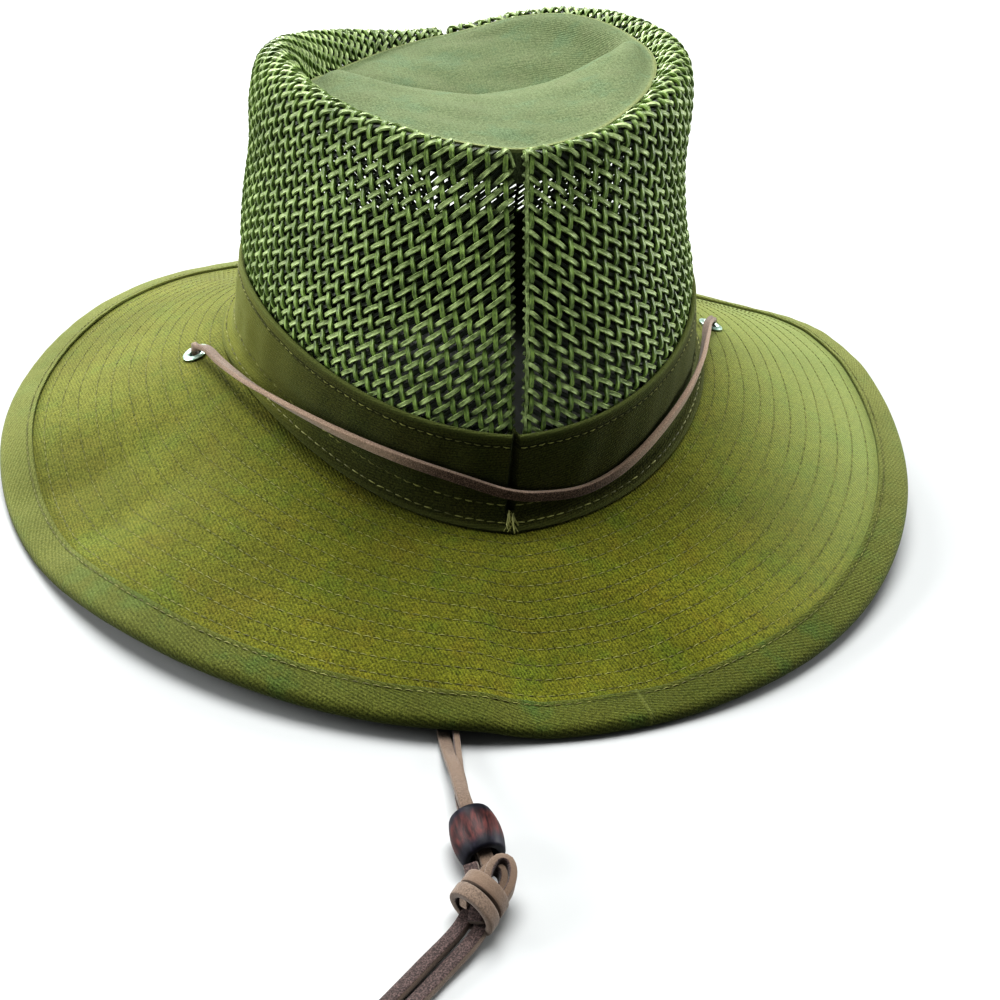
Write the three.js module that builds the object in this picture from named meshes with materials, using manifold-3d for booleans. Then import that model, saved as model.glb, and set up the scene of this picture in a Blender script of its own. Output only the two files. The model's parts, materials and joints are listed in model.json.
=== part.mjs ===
import * as THREE from 'three';
import { mergeVertices } from 'three/addons/utils/BufferGeometryUtils.js';
import Module from 'manifold-3d';

const wasm = await Module();
wasm.setup();
const { Manifold, Mesh: SolidMesh } = wasm;

// Fishing hat, millimetres, +Z up, back of the hat towards -Y, hat resting on Z = 0

// Cloth and fit
const BAND_WALL = 1.6;
const BAND_GAP = 0.3;
const WEAVE_WALL = 1.4;
const WEAVE_TUCK = 8;
const TIP_WALL = 1.5;
const BRIM_WALL = 1.6;
const FLARE_WALL = 1.0;
const SEAM_GAP = 0.45;
const FLARE_GAP = 0.4;
const SEAM_HALF_ANGLE = 0.6;

// Binding
const BINDING_WALL = 1.0;
const BINDING_GAP = 0.3;
const BINDING_WIDTH = 10.5;
const BRIM_STRAIGHT = 11.5;
const BINDING_HALF = BRIM_WALL / 2 + BINDING_GAP + BINDING_WALL;

// Eyelets, cord, bead and knot
const EYELET_HOLE_IN_CLOTH = 3.4;
const EYELET_OUT = 13.4;
const LACE_WIDTH = 3.2;
const LACE_THICK = 1.7;
const LACE_STEP = 12;
const FLOOR_LACE_Z = 1.15;
const BEAD_CENTRE = new THREE.Vector3(-26.5, -209.9, 6.1);
const BEAD_LENGTH = 11.3;
const KNOT_CENTRE = new THREE.Vector3(-28.1, -226.0, 5.6);
const KNOT_AXIS = new THREE.Vector3(0.32, 0.94, 0.1).normalize();
const KNOT_BASE = 5.2;
const KNOT_GAP = 0.3;
const TAIL_LANE = 1.9;
const TAIL_START_Z = 3.4;

// Crown rings: half widths right and left, reach to back and front, heights at the four
// sides, how far the ring is drawn out at the back seam, how far its back left quarter is drawn in
const RINGS = table(
  ['name', 'right', 'left', 'back', 'front', 'zBack', 'zRight', 'zLeft', 'zFront', 'point', 'pull'],
  [
    ['edge', 85.2, 85.2, -104.8, 104.0, 16.5, 39.5, 35.5, 18.0, 2.2, 0.045],
    ['crease', 81.2, 80.8, -100.4, 99.8, 21.5, 44.0, 40.0, 23.0, 1.5, 0.04],
    ['mid', 79.6, 79.6, -100.2, 98.8, 33.0, 55.0, 51.0, 35.0, 1.5, 0.012],
    ['top', 77.4, 78.2, -100.0, 96.6, 45.0, 67.0, 63.0, 47.0, 2.0, 0],
    ['waist', 72.0, 75.8, -87.0, 92.0, 79.0, 87.0, 82.0, 80.0, 1.5, 0],
    ['neck', 70.2, 73.2, -78.2, 88.5, 99.0, 104.0, 98.0, 101.0, 1.2, 0],
    ['shoulder', 70.6, 72.4, -72.4, 86.0, 113.0, 124.0, 113.0, 117.0, 0.8, 0],
  ],
);

// Rolled rim by azimuth: height of its top, roll radius, reach inwards and drop to the tip seam
const RIM = table(
  ['azimuth', 'top', 'roll', 'inset', 'drop'],
  [
    [0, 117.6, 2.6, 2.0, 1.0],
    [20, 121.0, 3.5, 3.0, 1.3],
    [40, 127.2, 5.0, 4.5, 2.0],
    [60, 132.2, 6.5, 5.5, 3.2],
    [90, 136.8, 7.0, 6.0, 4.5],
    [115, 137.2, 6.0, 5.5, 3.5],
    [136, 135.5, 5.0, 4.5, 2.0],
    [155, 131.3, 4.5, 4.0, 1.6],
    [170, 125.8, 4.0, 4.0, 1.6],
    [182, 122.8, 4.0, 4.5, 2.2],
    [196, 121.7, 5.0, 6.5, 4.0],
    [210, 122.8, 7.0, 9.0, 7.0],
    [225, 124.2, 8.5, 10.0, 10.0],
    [240, 125.2, 9.0, 10.0, 12.0],
    [255, 126.8, 9.5, 9.0, 12.5],
    [270, 127.4, 9.5, 8.5, 11.0],
    [285, 126.0, 9.0, 8.0, 8.0],
    [301, 124.0, 7.5, 7.0, 4.5],
    [315, 122.2, 6.0, 5.5, 3.0],
    [330, 120.2, 4.5, 4.2, 2.0],
    [345, 118.4, 3.2, 3.0, 1.2],
  ],
);

// Brim edge by azimuth: height of the middle of the cloth, and 1 where it lies flat on the floor
const BRIM_EDGE = table(
  ['azimuth', 'z', 'flat'],
  [
    [0, 2.1, 1],
    [11, 2.1, 1],
    [20, 3.2, 0.3],
    [30, 3.8, 0],
    [40, 5.2, 0],
    [50, 8.5, 0],
    [60, 12.2, 0],
    [72, 15.6, 0],
    [80, 18.0, 0],
    [89, 20.3, 0],
    [97, 20.0, 0],
    [105, 17.0, 0],
    [115, 10.8, 0],
    [126, 5.8, 0],
    [140, 3.0, 0.2],
    [160, 2.1, 1],
    [200, 2.1, 1],
    [213, 3.6, 0.2],
    [230, 6.8, 0],
    [240, 7.3, 0],
    [253, 6.2, 0],
    [263, 5.4, 0],
    [270, 5.4, 0],
    [279, 4.9, 0.1],
    [285.5, 3.3, 0.5],
    [291.5, 2.1, 1],
    [299.5, 2.1, 1],
    [306, 3.4, 0.5],
    [312.5, 5.2, 0.1],
    [320, 6.4, 0],
    [329, 6.3, 0],
    [339, 5.4, 0],
    [345, 5.1, 0],
    [349, 5.2, 0.1],
    [352.8, 4.9, 0.2],
    [356.5, 3.1, 0.8],
  ],
);
const FRAME_SHIFT = { x: 0.4, y: 3.0 };
const BRIM_PLAN = { right: 158.6, left: 159.4, back: -177.6, front: 171.6 };

// Crease across the tip, from left to right
const TIP_CREASE = table(
  ['x', 'y', 'z'],
  [
    [-56, 16, 117.5],
    [-50, 16, 117],
    [-40, 15, 115],
    [-30, 14, 113],
    [-14, 13, 110.5],
    [0, 13, 110],
    [14, 13, 112],
    [25, 14, 114.5],
    [35, 15, 118.5],
    [45, 16, 125],
    [53, 17, 129],
    [60, 18, 132],
  ],
);
const TIP_CUSHION = 2.6;
const TIP_BELLY = 1.6;

// Cord along the band, from the left eyelet round the back to the right one:
// distance out from the band's foot, height, and lean of the lace's width from upright
const CORD_ROUND = table(
  ['azimuth', 'out', 'z', 'lean'],
  [
    [-80, 11.2, 35.6, 70],
    [-73.5, 8.5, 35.6, 60],
    [-63, 6.0, 36.2, 50],
    [-56, 4.6, 36.2, 35],
    [-48, 4.2, 36.4, 20],
    [-35, 4.2, 36.1, 6],
    [-23, 3.2, 34.2, 2],
    [-10, 1.9, 30.5, 0],
    [0, 1.6, 26.6, 0],
    [8, 1.5, 24.7, 0],
    [16, 1.45, 24.3, 0],
    [24, 1.45, 26.8, 0],
    [31, 1.45, 30.8, 0],
    [40, 1.45, 36.4, 0],
    [50, 1.6, 40.6, 4],
    [61, 2.2, 42.6, 10],
    [74, 4.6, 42.6, 30],
    [82, 8.0, 42.0, 60],
  ],
);

function table(columns, rows) {
  return rows.map((row) => Object.fromEntries(columns.map((column, i) => [column, row[i]])));
}

const rad = THREE.MathUtils.degToRad;
const ring = (name) => RINGS.find((row) => row.name === name);

// Smooth periodic value from a table by azimuth, without overshoot
function around(rows, column, degrees) {
  const a = ((degrees % 360) + 360) % 360;
  const n = rows.length;
  let k = n - 1;
  for (let i = 0; i < n; i += 1) {
    if (rows[i].azimuth <= a) {
      k = i;
    }
  }
  const at = (i) => {
    const turn = Math.floor(i / n);
    const row = rows[i - turn * n];
    return { x: row.azimuth + 360 * turn, y: row[column] };
  };
  const base = a < rows[0].azimuth ? k - n : k;
  const [p, q, r, s] = [at(base - 1), at(base), at(base + 1), at(base + 2)];
  const slope = (u, v) => (v.y - u.y) / (v.x - u.x);
  const [d0, d1, d2] = [slope(p, q), slope(q, r), slope(r, s)];
  const mean = (u, v) => (u * v <= 0 ? 0 : (2 * u * v) / (u + v));
  const h = r.x - q.x;
  const t = (a - q.x) / h;
  const [m0, m1] = [mean(d0, d1) * h, mean(d1, d2) * h];
  return hermite(q.y, r.y, m0, m1, t);
}

function hermite(y0, y1, m0, m1, t) {
  const t2 = t * t;
  const t3 = t2 * t;
  return y0 * (2 * t3 - 3 * t2 + 1) + m0 * (t3 - 2 * t2 + t)
    + y1 * (3 * t2 - 2 * t3) + m1 * (t3 - t2);
}

// A point of a crown ring
function ringPoint(name, degrees) {
  const row = ring(name);
  const phi = rad(degrees);
  const s = Math.sin(phi);
  const c = Math.cos(phi);
  const width = (row.right + row.left) / 2 + ((row.right - row.left) / 2) * s;
  const centre = (row.back + row.front) / 2;
  const reach = (row.front - row.back) / 2;
  const pull = s < 0 && c > 0 ? -row.pull : 0.010;
  const swell = 1 + pull * Math.sin(2 * phi) ** 2;
  const off = Math.abs(Math.atan2(s, c));
  const x = width * s * swell;
  const y = centre - reach * c * swell - row.point * Math.exp(-off / 0.16);
  const z = row.zBack * Math.max(0, c) ** 2 + row.zFront * Math.max(0, -c) ** 2
    + row.zRight * Math.max(0, s) ** 2 + row.zLeft * Math.max(0, -s) ** 2;
  return new THREE.Vector3(x, y, z);
}

function edgePoint(degrees) {
  const phi = rad(degrees);
  const s = Math.sin(phi);
  const { right, left, back, front } = BRIM_PLAN;
  const width = (right + left) / 2 + ((right - left) / 2) * s;
  const swell = 1 + 0.003 * Math.sin(2 * phi) ** 2;
  const y = (back + front) / 2 - ((front - back) / 2) * Math.cos(phi) * swell;
  return new THREE.Vector3(width * s * swell, y, around(BRIM_EDGE, 'z', degrees));
}

// Level direction square to a ring, pointing out of the hat
function outward(pointAt, degrees) {
  const step = pointAt(degrees + 0.5).sub(pointAt(degrees - 0.5));
  return new THREE.Vector3(step.y, -step.x, 0).normalize();
}

const ringOutward = (name, degrees) => outward((a) => ringPoint(name, a), degrees);

function offsetRing(name, degrees, out, rise = 0) {
  const point = ringPoint(name, degrees).addScaledVector(ringOutward(name, degrees), out);
  point.z += rise;
  return point;
}

// The rolled rim: outer shoulder, top, inner shoulder and tip seam
function rimPoints(degrees) {
  const top = around(RIM, 'top', degrees);
  const roll = around(RIM, 'roll', degrees);
  const inset = around(RIM, 'inset', degrees);
  const drop = around(RIM, 'drop', degrees);
  const at = (reach, z) => {
    const point = offsetRing('shoulder', degrees, -reach);
    point.z = z;
    return point;
  };
  return [
    at(roll * 0.36, top - roll * 0.36),
    at(roll, top),
    at(roll + inset * 0.62, top - drop * 0.34),
    at(roll + inset, top - drop),
  ];
}

// Outer surface of the woven wall from its tucked foot to the tip seam
function weaveProfile(degrees) {
  const tuck = -(BAND_WALL + BAND_GAP);
  const band = offsetRing('top', degrees, tuck);
  const mid = offsetRing('mid', degrees, tuck);
  const foot = band.clone().lerp(mid, WEAVE_TUCK / (band.z - mid.z));
  const waist = ringPoint('waist', degrees);
  const above = band.clone().lerp(waist, 0.3);
  above.addScaledVector(ringOutward('top', degrees), 0.9);
  return [foot, band, above, waist, ringPoint('neck', degrees), ringPoint('shoulder', degrees),
    ...rimPoints(degrees)];
}

// Closed solids from grids of points
function solid(points, faces) {
  let volume = 0;
  for (const [a, b, c] of faces) {
    volume += points[a].dot(new THREE.Vector3().crossVectors(points[b], points[c]));
  }
  const ordered = volume > 0 ? faces : faces.map(([a, b, c]) => [a, c, b]);
  const geometry = new THREE.BufferGeometry();
  geometry.setAttribute('position', new THREE.Float32BufferAttribute(
    points.flatMap((p) => [p.x, p.y, p.z]), 3));
  geometry.setIndex(ordered.flat());
  geometry.computeVertexNormals();
  return geometry;
}

function quads(faces, rows, columns, wrapRows, wrapColumns, index) {
  const lastRow = wrapRows ? rows : rows - 1;
  const lastColumn = wrapColumns ? columns : columns - 1;
  for (let i = 0; i < lastRow; i += 1) {
    for (let j = 0; j < lastColumn; j += 1) {
      const a = index(i, j);
      const b = index((i + 1) % rows, j);
      const c = index((i + 1) % rows, (j + 1) % columns);
      const d = index(i, (j + 1) % columns);
      faces.push([a, b, c], [a, c, d]);
    }
  }
}

// Sections swept right round: every section is a closed loop of points
function loop(sections) {
  const columns = sections[0].length;
  const faces = [];
  quads(faces, sections.length, columns, true, true, (i, j) => i * columns + j);
  return solid(sections.flat(), faces);
}

// A wall of even thickness under a grid that is open on all four sides
function wall(outer, thickness) {
  const rows = outer.length;
  const columns = outer[0].length;
  const inner = outer.map((line, i) => line.map((point, j) => {
    const along = outer[Math.min(i + 1, rows - 1)][j].clone().sub(outer[Math.max(i - 1, 0)][j]);
    const up = line[Math.min(j + 1, columns - 1)].clone().sub(line[Math.max(j - 1, 0)]);
    const normal = along.cross(up).normalize();
    return point.clone().addScaledVector(normal, -thickness);
  }));
  const points = [...outer.flat(), ...inner.flat()];
  const shift = rows * columns;
  const faces = [];
  quads(faces, rows, columns, false, false, (i, j) => i * columns + j);
  const under = [];
  quads(under, rows, columns, false, false, (i, j) => shift + i * columns + j);
  under.forEach(([a, b, c]) => faces.push([a, c, b]));
  const rim = [];
  for (let i = 0; i < rows - 1; i += 1) {
    rim.push(i * columns);
  }
  for (let j = 0; j < columns - 1; j += 1) {
    rim.push((rows - 1) * columns + j);
  }
  for (let i = rows - 1; i > 0; i -= 1) {
    rim.push(i * columns + columns - 1);
  }
  for (let j = columns - 1; j > 0; j -= 1) {
    rim.push(j);
  }
  rim.forEach((a, k) => {
    const b = rim[(k + 1) % rim.length];
    faces.push([b, a, shift + a], [b, shift + a, shift + b]);
  });
  return solid(points, faces);
}

// Booleans, for the holes and the knot
function toManifold(geometry) {
  const triVerts = Uint32Array.from(geometry.getIndex().array);
  const vertProperties = Float32Array.from(geometry.getAttribute('position').array);
  return new Manifold(new SolidMesh({ numProp: 3, triVerts, vertProperties }));
}

function fromManifold(body) {
  const mesh = body.getMesh();
  const geometry = new THREE.BufferGeometry();
  const step = mesh.numProp;
  const position = [];
  for (let i = 0; i < mesh.vertProperties.length; i += step) {
    position.push(...mesh.vertProperties.slice(i, i + 3));
  }
  geometry.setAttribute('position', new THREE.Float32BufferAttribute(position, 3));
  geometry.setIndex([...mesh.triVerts]);
  geometry.computeVertexNormals();
  return geometry;
}

// Azimuths for the parts of the crown, closer together at the seams
function fan(from, to, step) {
  const count = Math.round((to - from) / step);
  return Array.from({ length: count + 1 }, (_, i) => from + ((to - from) * i) / count);
}
const SIDE_FAN = [3, 6.5, 11, ...fan(17, 163, 6.35), 169, 173.5, 177];
const HALF_FAN = [SEAM_HALF_ANGLE, ...SIDE_FAN, 180 - SEAM_HALF_ANGLE];
const ROUND_FAN = [0, ...SIDE_FAN, 180, ...SIDE_FAN.map((a) => a + 180)];

// Crown walls
function weaveHalf(side) {
  const angles = side > 0 ? HALF_FAN : HALF_FAN.map((a) => -a);
  const grid = angles.map((a) => weaveProfile(a));
  return wall(side > 0 ? grid : grid.reverse(), WEAVE_WALL);
}

// Band: plain wall, flared foot lying on the brim, and a collar down inside the brim
function bandSection(degrees) {
  const flareUnder = ringPoint('edge', degrees);
  flareUnder.z -= FLARE_WALL;
  const collar = ringPoint('crease', degrees);
  const edge = ringPoint('edge', degrees);
  collar.z = edge.z - 3;
  const collarIn = collar.clone().addScaledVector(ringOutward('crease', degrees), -BAND_WALL);
  return [
    offsetRing('top', degrees, -0.5, 0.35),
    offsetRing('top', degrees, 0, -0.5),
    ringPoint('mid', degrees),
    ringPoint('crease', degrees),
    edge,
    flareUnder,
    offsetRing('crease', degrees, 0, -1.45),
    collar,
    collarIn,
    offsetRing('mid', degrees, -BAND_WALL),
    offsetRing('top', degrees, -BAND_WALL, 0.35),
  ];
}

// Tip: one crosswise crease between a back cushion and the long front slope
const TIP_FAN = fan(0, 352.5, 7.5);
const SEAM_LINE = fan(0, 359, 1).map((a) => rimPoints(a)[3]);

function seamAt(x, front) {
  const half = SEAM_LINE.filter((point) => (point.y > 16) === front);
  half.sort((a, b) => a.x - b.x);
  return blend(half, x);
}

function blend(rows, x) {
  if (x <= rows[0].x) {
    return { y: rows[0].y, z: rows[0].z };
  }
  for (let i = 1; i < rows.length; i += 1) {
    if (x <= rows[i].x) {
      const t = (x - rows[i - 1].x) / Math.max(rows[i].x - rows[i - 1].x, 1e-6);
      return {
        y: THREE.MathUtils.lerp(rows[i - 1].y, rows[i].y, t),
        z: THREE.MathUtils.lerp(rows[i - 1].z, rows[i].z, t),
      };
    }
  }
  const last = rows[rows.length - 1];
  return { y: last.y, z: last.z };
}

function tipHeight(x, y) {
  const crease = blend(TIP_CREASE, x);
  const front = y > crease.y;
  const seam = seamAt(x, front);
  const t = THREE.MathUtils.clamp((y - crease.y) / (seam.y - crease.y || 1), 0, 1);
  const bulge = (front ? TIP_BELLY : TIP_CUSHION) * 4 * t * (1 - t);
  return crease.z + (seam.z - crease.z) * t + bulge;
}

function crownTip() {
  const hub = new THREE.Vector2(1, 14);
  const shares = [1, 0.9, 0.74, 0.54, 0.32, 0.14];
  const lines = shares.map((share) => TIP_FAN.map((a) => {
    const seam = rimPoints(a)[3];
    const way = new THREE.Vector2(seam.x - hub.x, seam.y - hub.y);
    const length = way.length();
    way.multiplyScalar((share * (length - SEAM_GAP)) / length);
    const x = hub.x + way.x;
    const y = hub.y + way.y;
    const near = THREE.MathUtils.smoothstep(share, 0.8, 1);
    return new THREE.Vector3(x, y, THREE.MathUtils.lerp(tipHeight(x, y), seam.z, near));
  }));
  const columns = TIP_FAN.length;
  const points = lines.flat();
  points.push(new THREE.Vector3(hub.x, hub.y, tipHeight(hub.x, hub.y)));
  const shift = points.length;
  points.push(...points.map((p) => new THREE.Vector3(p.x, p.y, p.z - TIP_WALL)));
  const top = [];
  quads(top, lines.length, columns, false, true, (i, j) => i * columns + j);
  for (let j = 0; j < columns; j += 1) {
    const a = (lines.length - 1) * columns + j;
    const b = (lines.length - 1) * columns + ((j + 1) % columns);
    top.push([a, shift - 1, b]);
  }
  const faces = [...top, ...top.map(([a, b, c]) => [a + shift, c + shift, b + shift])];
  for (let j = 0; j < columns; j += 1) {
    const k = (j + 1) % columns;
    faces.push([j, k, k + shift], [j, k + shift, j + shift]);
  }
  return solid(points, faces);
}

// Brim: middle of the cloth at a share of the way from the band's foot to the edge
function brimLine(degrees) {
  const inner = offsetRing('edge', degrees, 0, -(FLARE_WALL + FLARE_GAP + BRIM_WALL / 2));
  const outer = edgePoint(degrees);
  const flat = around(BRIM_EDGE, 'flat', degrees);
  const width = Math.hypot(outer.x - inner.x, outer.y - inner.y);
  const fall = outer.z - inner.z;
  const endSlope = fall * 0.8 * (1 - flat);
  const straight = BRIM_STRAIGHT / width;
  const kneeShare = 1 - straight;
  const kneeZ = outer.z - endSlope * straight;
  const startSlope = fall * 1.05;
  const at = (share) => {
    const point = inner.clone().lerp(outer, share);
    if (share >= kneeShare) {
      point.z = outer.z - endSlope * (1 - share);
    } else if (share < 0) {
      point.z = inner.z + startSlope * share;
    } else {
      const t = share / kneeShare;
      point.z = hermite(inner.z, kneeZ, startSlope * kneeShare, endSlope * kneeShare, t);
    }
    return point;
  };
  const way = new THREE.Vector3(outer.x - inner.x, outer.y - inner.y, 0).normalize();
  const skew = 1 / way.dot(outward(edgePoint, degrees));
  const inFromEdge = (reach) => 1 - (reach * skew) / width;
  return { at, width, kneeShare, inFromEdge };
}

function brimSection(degrees) {
  const line = brimLine(degrees);
  const foot = ringPoint('edge', degrees);
  const tucked = offsetRing('crease', degrees, SEAM_GAP);
  const inShare = -Math.hypot(foot.x - tucked.x, foot.y - tucked.y) / line.width;
  const outShare = line.inFromEdge(BINDING_WALL + BINDING_GAP);
  const shares = [inShare, 0.12, 0.36, 0.62, line.kneeShare, outShare];
  const start = tucked.clone();
  start.z = line.at(inShare).z;
  const middle = [start, ...shares.slice(1).map((share) => line.at(share))];
  const lift = (points, rise) => points.map((p) => new THREE.Vector3(p.x, p.y, p.z + rise));
  return [...lift(middle, BRIM_WALL / 2), ...lift(middle, -BRIM_WALL / 2).reverse()];
}

function bindingSection(degrees) {
  const line = brimLine(degrees);
  const inner = BRIM_WALL / 2 + BINDING_GAP;
  const corners = [
    [0, -1.1], [0, 1.1], [0.9, BINDING_HALF], [BINDING_WIDTH, BINDING_HALF],
    [BINDING_WIDTH, inner], [BINDING_WALL, inner], [BINDING_WALL, -inner],
    [BINDING_WIDTH, -inner], [BINDING_WIDTH, -BINDING_HALF], [0.9, -BINDING_HALF],
  ];
  return corners.map(([reach, rise]) => {
    const point = line.at(line.inFromEdge(reach));
    point.z += rise;
    return point;
  });
}

// Eyelets: place on the brim, axis square to it
function eyeletSeat(degrees) {
  const line = brimLine(degrees);
  const crease = ringPoint('crease', degrees);
  const foot = ringPoint('edge', degrees);
  const share = (EYELET_OUT - Math.hypot(foot.x - crease.x, foot.y - crease.y)) / line.width;
  const centre = line.at(share);
  const along = line.at(share + 0.05).sub(line.at(share - 0.05)).normalize();
  const ahead = brimLine(degrees + 3).at(share);
  const across = ahead.sub(brimLine(degrees - 3).at(share)).normalize();
  const axis = new THREE.Vector3().crossVectors(along, across).normalize();
  return { centre, axis: axis.z < 0 ? axis.negate() : axis };
}
const SEAT_LEFT = eyeletSeat(-84);
const SEAT_RIGHT = eyeletSeat(89);

function place(geometry, seat) {
  const turn = new THREE.Quaternion().setFromUnitVectors(new THREE.Vector3(0, 0, 1), seat.axis);
  geometry.applyQuaternion(turn);
  geometry.translate(seat.centre.x, seat.centre.y, seat.centre.z);
  return geometry;
}

function lathe(profile, segments) {
  const points = [];
  const onAxis = profile.map(([r]) => r < 1e-6);
  const columns = Array.from({ length: segments }, (_, i) => (i / segments) * Math.PI * 2);
  const starts = profile.map(([r, z], k) => {
    const start = points.length;
    const count = onAxis[k] ? 1 : segments;
    for (let i = 0; i < count; i += 1) {
      points.push(new THREE.Vector3(r * Math.cos(columns[i]), r * Math.sin(columns[i]), z));
    }
    return start;
  });
  const faces = [];
  const closed = onAxis.some(Boolean) ? profile.length - 1 : profile.length;
  for (let k = 0; k < closed; k += 1) {
    const m = (k + 1) % profile.length;
    for (let i = 0; i < segments; i += 1) {
      const j = (i + 1) % segments;
      const a = starts[k] + (onAxis[k] ? 0 : i);
      const b = starts[k] + (onAxis[k] ? 0 : j);
      const c = starts[m] + (onAxis[m] ? 0 : j);
      const d = starts[m] + (onAxis[m] ? 0 : i);
      if (!onAxis[k]) {
        faces.push([a, b, c]);
      }
      if (!onAxis[m]) {
        faces.push([a, c, d]);
      }
    }
  }
  return solid(points, faces);
}

function eyelet(seat) {
  const profile = [
    [2.45, -1.4], [2.45, 1.4], [2.95, 1.85], [4.1, 1.8], [4.75, 1.5], [4.75, 1.2],
    [2.95, 1.2], [2.95, -1.2], [4.75, -1.2], [4.75, -1.5], [4.1, -1.8], [2.95, -1.85],
  ];
  return place(lathe(profile, 18), seat);
}

function brim() {
  const cloth = toManifold(loop(ROUND_FAN.map(brimSection)));
  const cutters = [SEAT_LEFT, SEAT_RIGHT].map((seat) => {
    const r = EYELET_HOLE_IN_CLOTH;
    return toManifold(place(lathe([[0, -4], [r, -4], [r, 4], [0, 4]], 18), seat));
  });
  return fromManifold(cutters.reduce((body, cutter) => Manifold.difference(body, cutter), cloth));
}

// Path of a flat lace: it is cut at chosen places, and its width is turned as each station asks
class LacePath extends THREE.CatmullRomCurve3 {
  constructor(stations) {
    super(stations.map((s) => s.at), false, 'centripetal');
    this.widths = stations.map((s) => s.width);
    this.cuts = [];
    for (let k = 0; k < stations.length - 1; k += 1) {
      const length = stations[k].at.distanceTo(stations[k + 1].at);
      const count = Math.max(1, Math.round(length / LACE_STEP));
      for (let i = 0; i < count; i += 1) {
        this.cuts.push(k + i / count);
      }
    }
    this.cuts.push(stations.length - 1);
  }

  share(cut) {
    return cut / (this.widths.length - 1);
  }

  getSpacedPoints() {
    return this.cuts.map((cut) => this.getPoint(this.share(cut)));
  }

  computeFrenetFrames() {
    const tangents = this.cuts.map((cut) => this.getTangent(this.share(cut)));
    const normals = this.cuts.map((cut, i) => {
      const k = Math.min(Math.floor(cut), this.widths.length - 2);
      const wish = this.widths[k].clone().lerp(this.widths[k + 1], cut - k);
      return wish.addScaledVector(tangents[i], -wish.dot(tangents[i])).normalize();
    });
    const binormals = tangents.map((t, i) => new THREE.Vector3().crossVectors(t, normals[i]));
    return { tangents, normals, binormals };
  }
}

function lace(stations) {
  const w = LACE_WIDTH / 2;
  const t = LACE_THICK / 2;
  const section = new THREE.Shape([
    [w, -t * 0.5], [w, t * 0.5], [w * 0.8, t], [-w * 0.8, t],
    [-w, t * 0.5], [-w, -t * 0.5], [-w * 0.8, -t], [w * 0.8, -t],
  ].map(([u, v]) => new THREE.Vector2(u, v)));
  const path = new LacePath(stations);
  const steps = path.cuts.length - 1;
  const extruded = new THREE.ExtrudeGeometry(section, { steps, extrudePath: path });
  extruded.deleteAttribute('normal');
  extruded.deleteAttribute('uv');
  return mergeVertices(extruded, 1e-4);
}

const V = (x, y, z) => new THREE.Vector3(x, y, z);
const station = (at, width) => ({ at, width });

// Strand from the knot through the bead, under the brim and along the floor
function strandOut(side) {
  const lift = side < 0 ? 1.02 : -1.02;
  const lane = side < 0 ? -27.7 : -23.9;
  const flat = V(1, 0, 0);
  const b = BEAD_CENTRE;
  return [
    station(V(b.x - 0.2, b.y - 9.0, b.z + lift), flat),
    station(V(b.x, b.y - 5, b.z + lift), flat),
    station(V(b.x, b.y + 5, b.z + lift), flat),
    station(V(b.x + side * 0.4, b.y + 9.5, b.z + lift - 0.6), flat),
    station(V(lane - side * 0.8, b.y + 17, 2.6 + lift * 0.55), flat),
    station(V(lane, b.y + 24, FLOOR_LACE_Z), flat),
    station(V(lane, b.y + 34, FLOOR_LACE_Z), flat),
  ];
}

function rise(seat, below) {
  const side = V(0, 1, 0);
  const up = (d) => seat.centre.clone().addScaledVector(seat.axis, d);
  return [
    station(below, side),
    station(up(-9), side),
    station(up(-3), side),
    station(up(0), side),
    station(up(3.1), side),
  ];
}

function cordRound() {
  return CORD_ROUND.map(({ azimuth, out, z, lean }) => {
    const at = offsetRing('crease', azimuth, out);
    at.z = z;
    const width = V(0, 0, Math.cos(rad(lean)));
    width.addScaledVector(ringOutward('crease', azimuth), Math.sin(rad(lean)));
    return station(at, width);
  });
}

function chinCord() {
  const f = FLOOR_LACE_Z;
  const left = [
    ...strandOut(-1),
    station(V(-36, -148, f), V(0.95, 0.3, 0)),
    station(V(-62, -100, f), V(0.9, 0.45, 0)),
    station(V(-84, -56, f), V(0.9, 0.4, 0)),
    station(V(-95, -28, f + 1.4), V(0.8, 0.6, 0)),
    ...rise(SEAT_LEFT, V(-98.2, -13, 12)),
  ];
  const right = [
    ...strandOut(1),
    station(V(-6, -150, f), V(0.8, -0.6, 0)),
    station(V(38, -122, f), V(0.6, -0.8, 0)),
    station(V(78, -80, f), V(0.75, -0.6, 0)),
    station(V(97, -34, f + 1.2), V(0.9, -0.3, 0)),
    ...rise(SEAT_RIGHT, V(98.6, -6, 12)),
  ];
  const middle = cordRound();
  const turned = right.reverse();
  turned.forEach((s, i) => {
    if (i < 5) {
      s.width.negate();
    }
  });
  return lace([...left, ...middle, ...right]);
}

function cordTail(side) {
  const across = V(0.94, -0.32, 0);
  const base = KNOT_CENTRE.clone().addScaledVector(KNOT_AXIS, -(KNOT_BASE + KNOT_GAP));
  const start = base.addScaledVector(across, side * TAIL_LANE);
  start.z = TAIL_START_Z;
  const out = start.clone().addScaledVector(KNOT_AXIS, -3);
  out.z = 2.6;
  const ends = side < 0 ? V(-51.2, -242.6, FLOOR_LACE_Z) : V(-43.0, -246.0, FLOOR_LACE_Z);
  const late = out.clone().lerp(ends, 0.5);
  late.z = FLOOR_LACE_Z;
  const turned = V(0.86, -0.5, 0);
  return lace([
    station(start, across), station(out, across), station(late, turned), station(ends, turned),
  ]);
}

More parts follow.
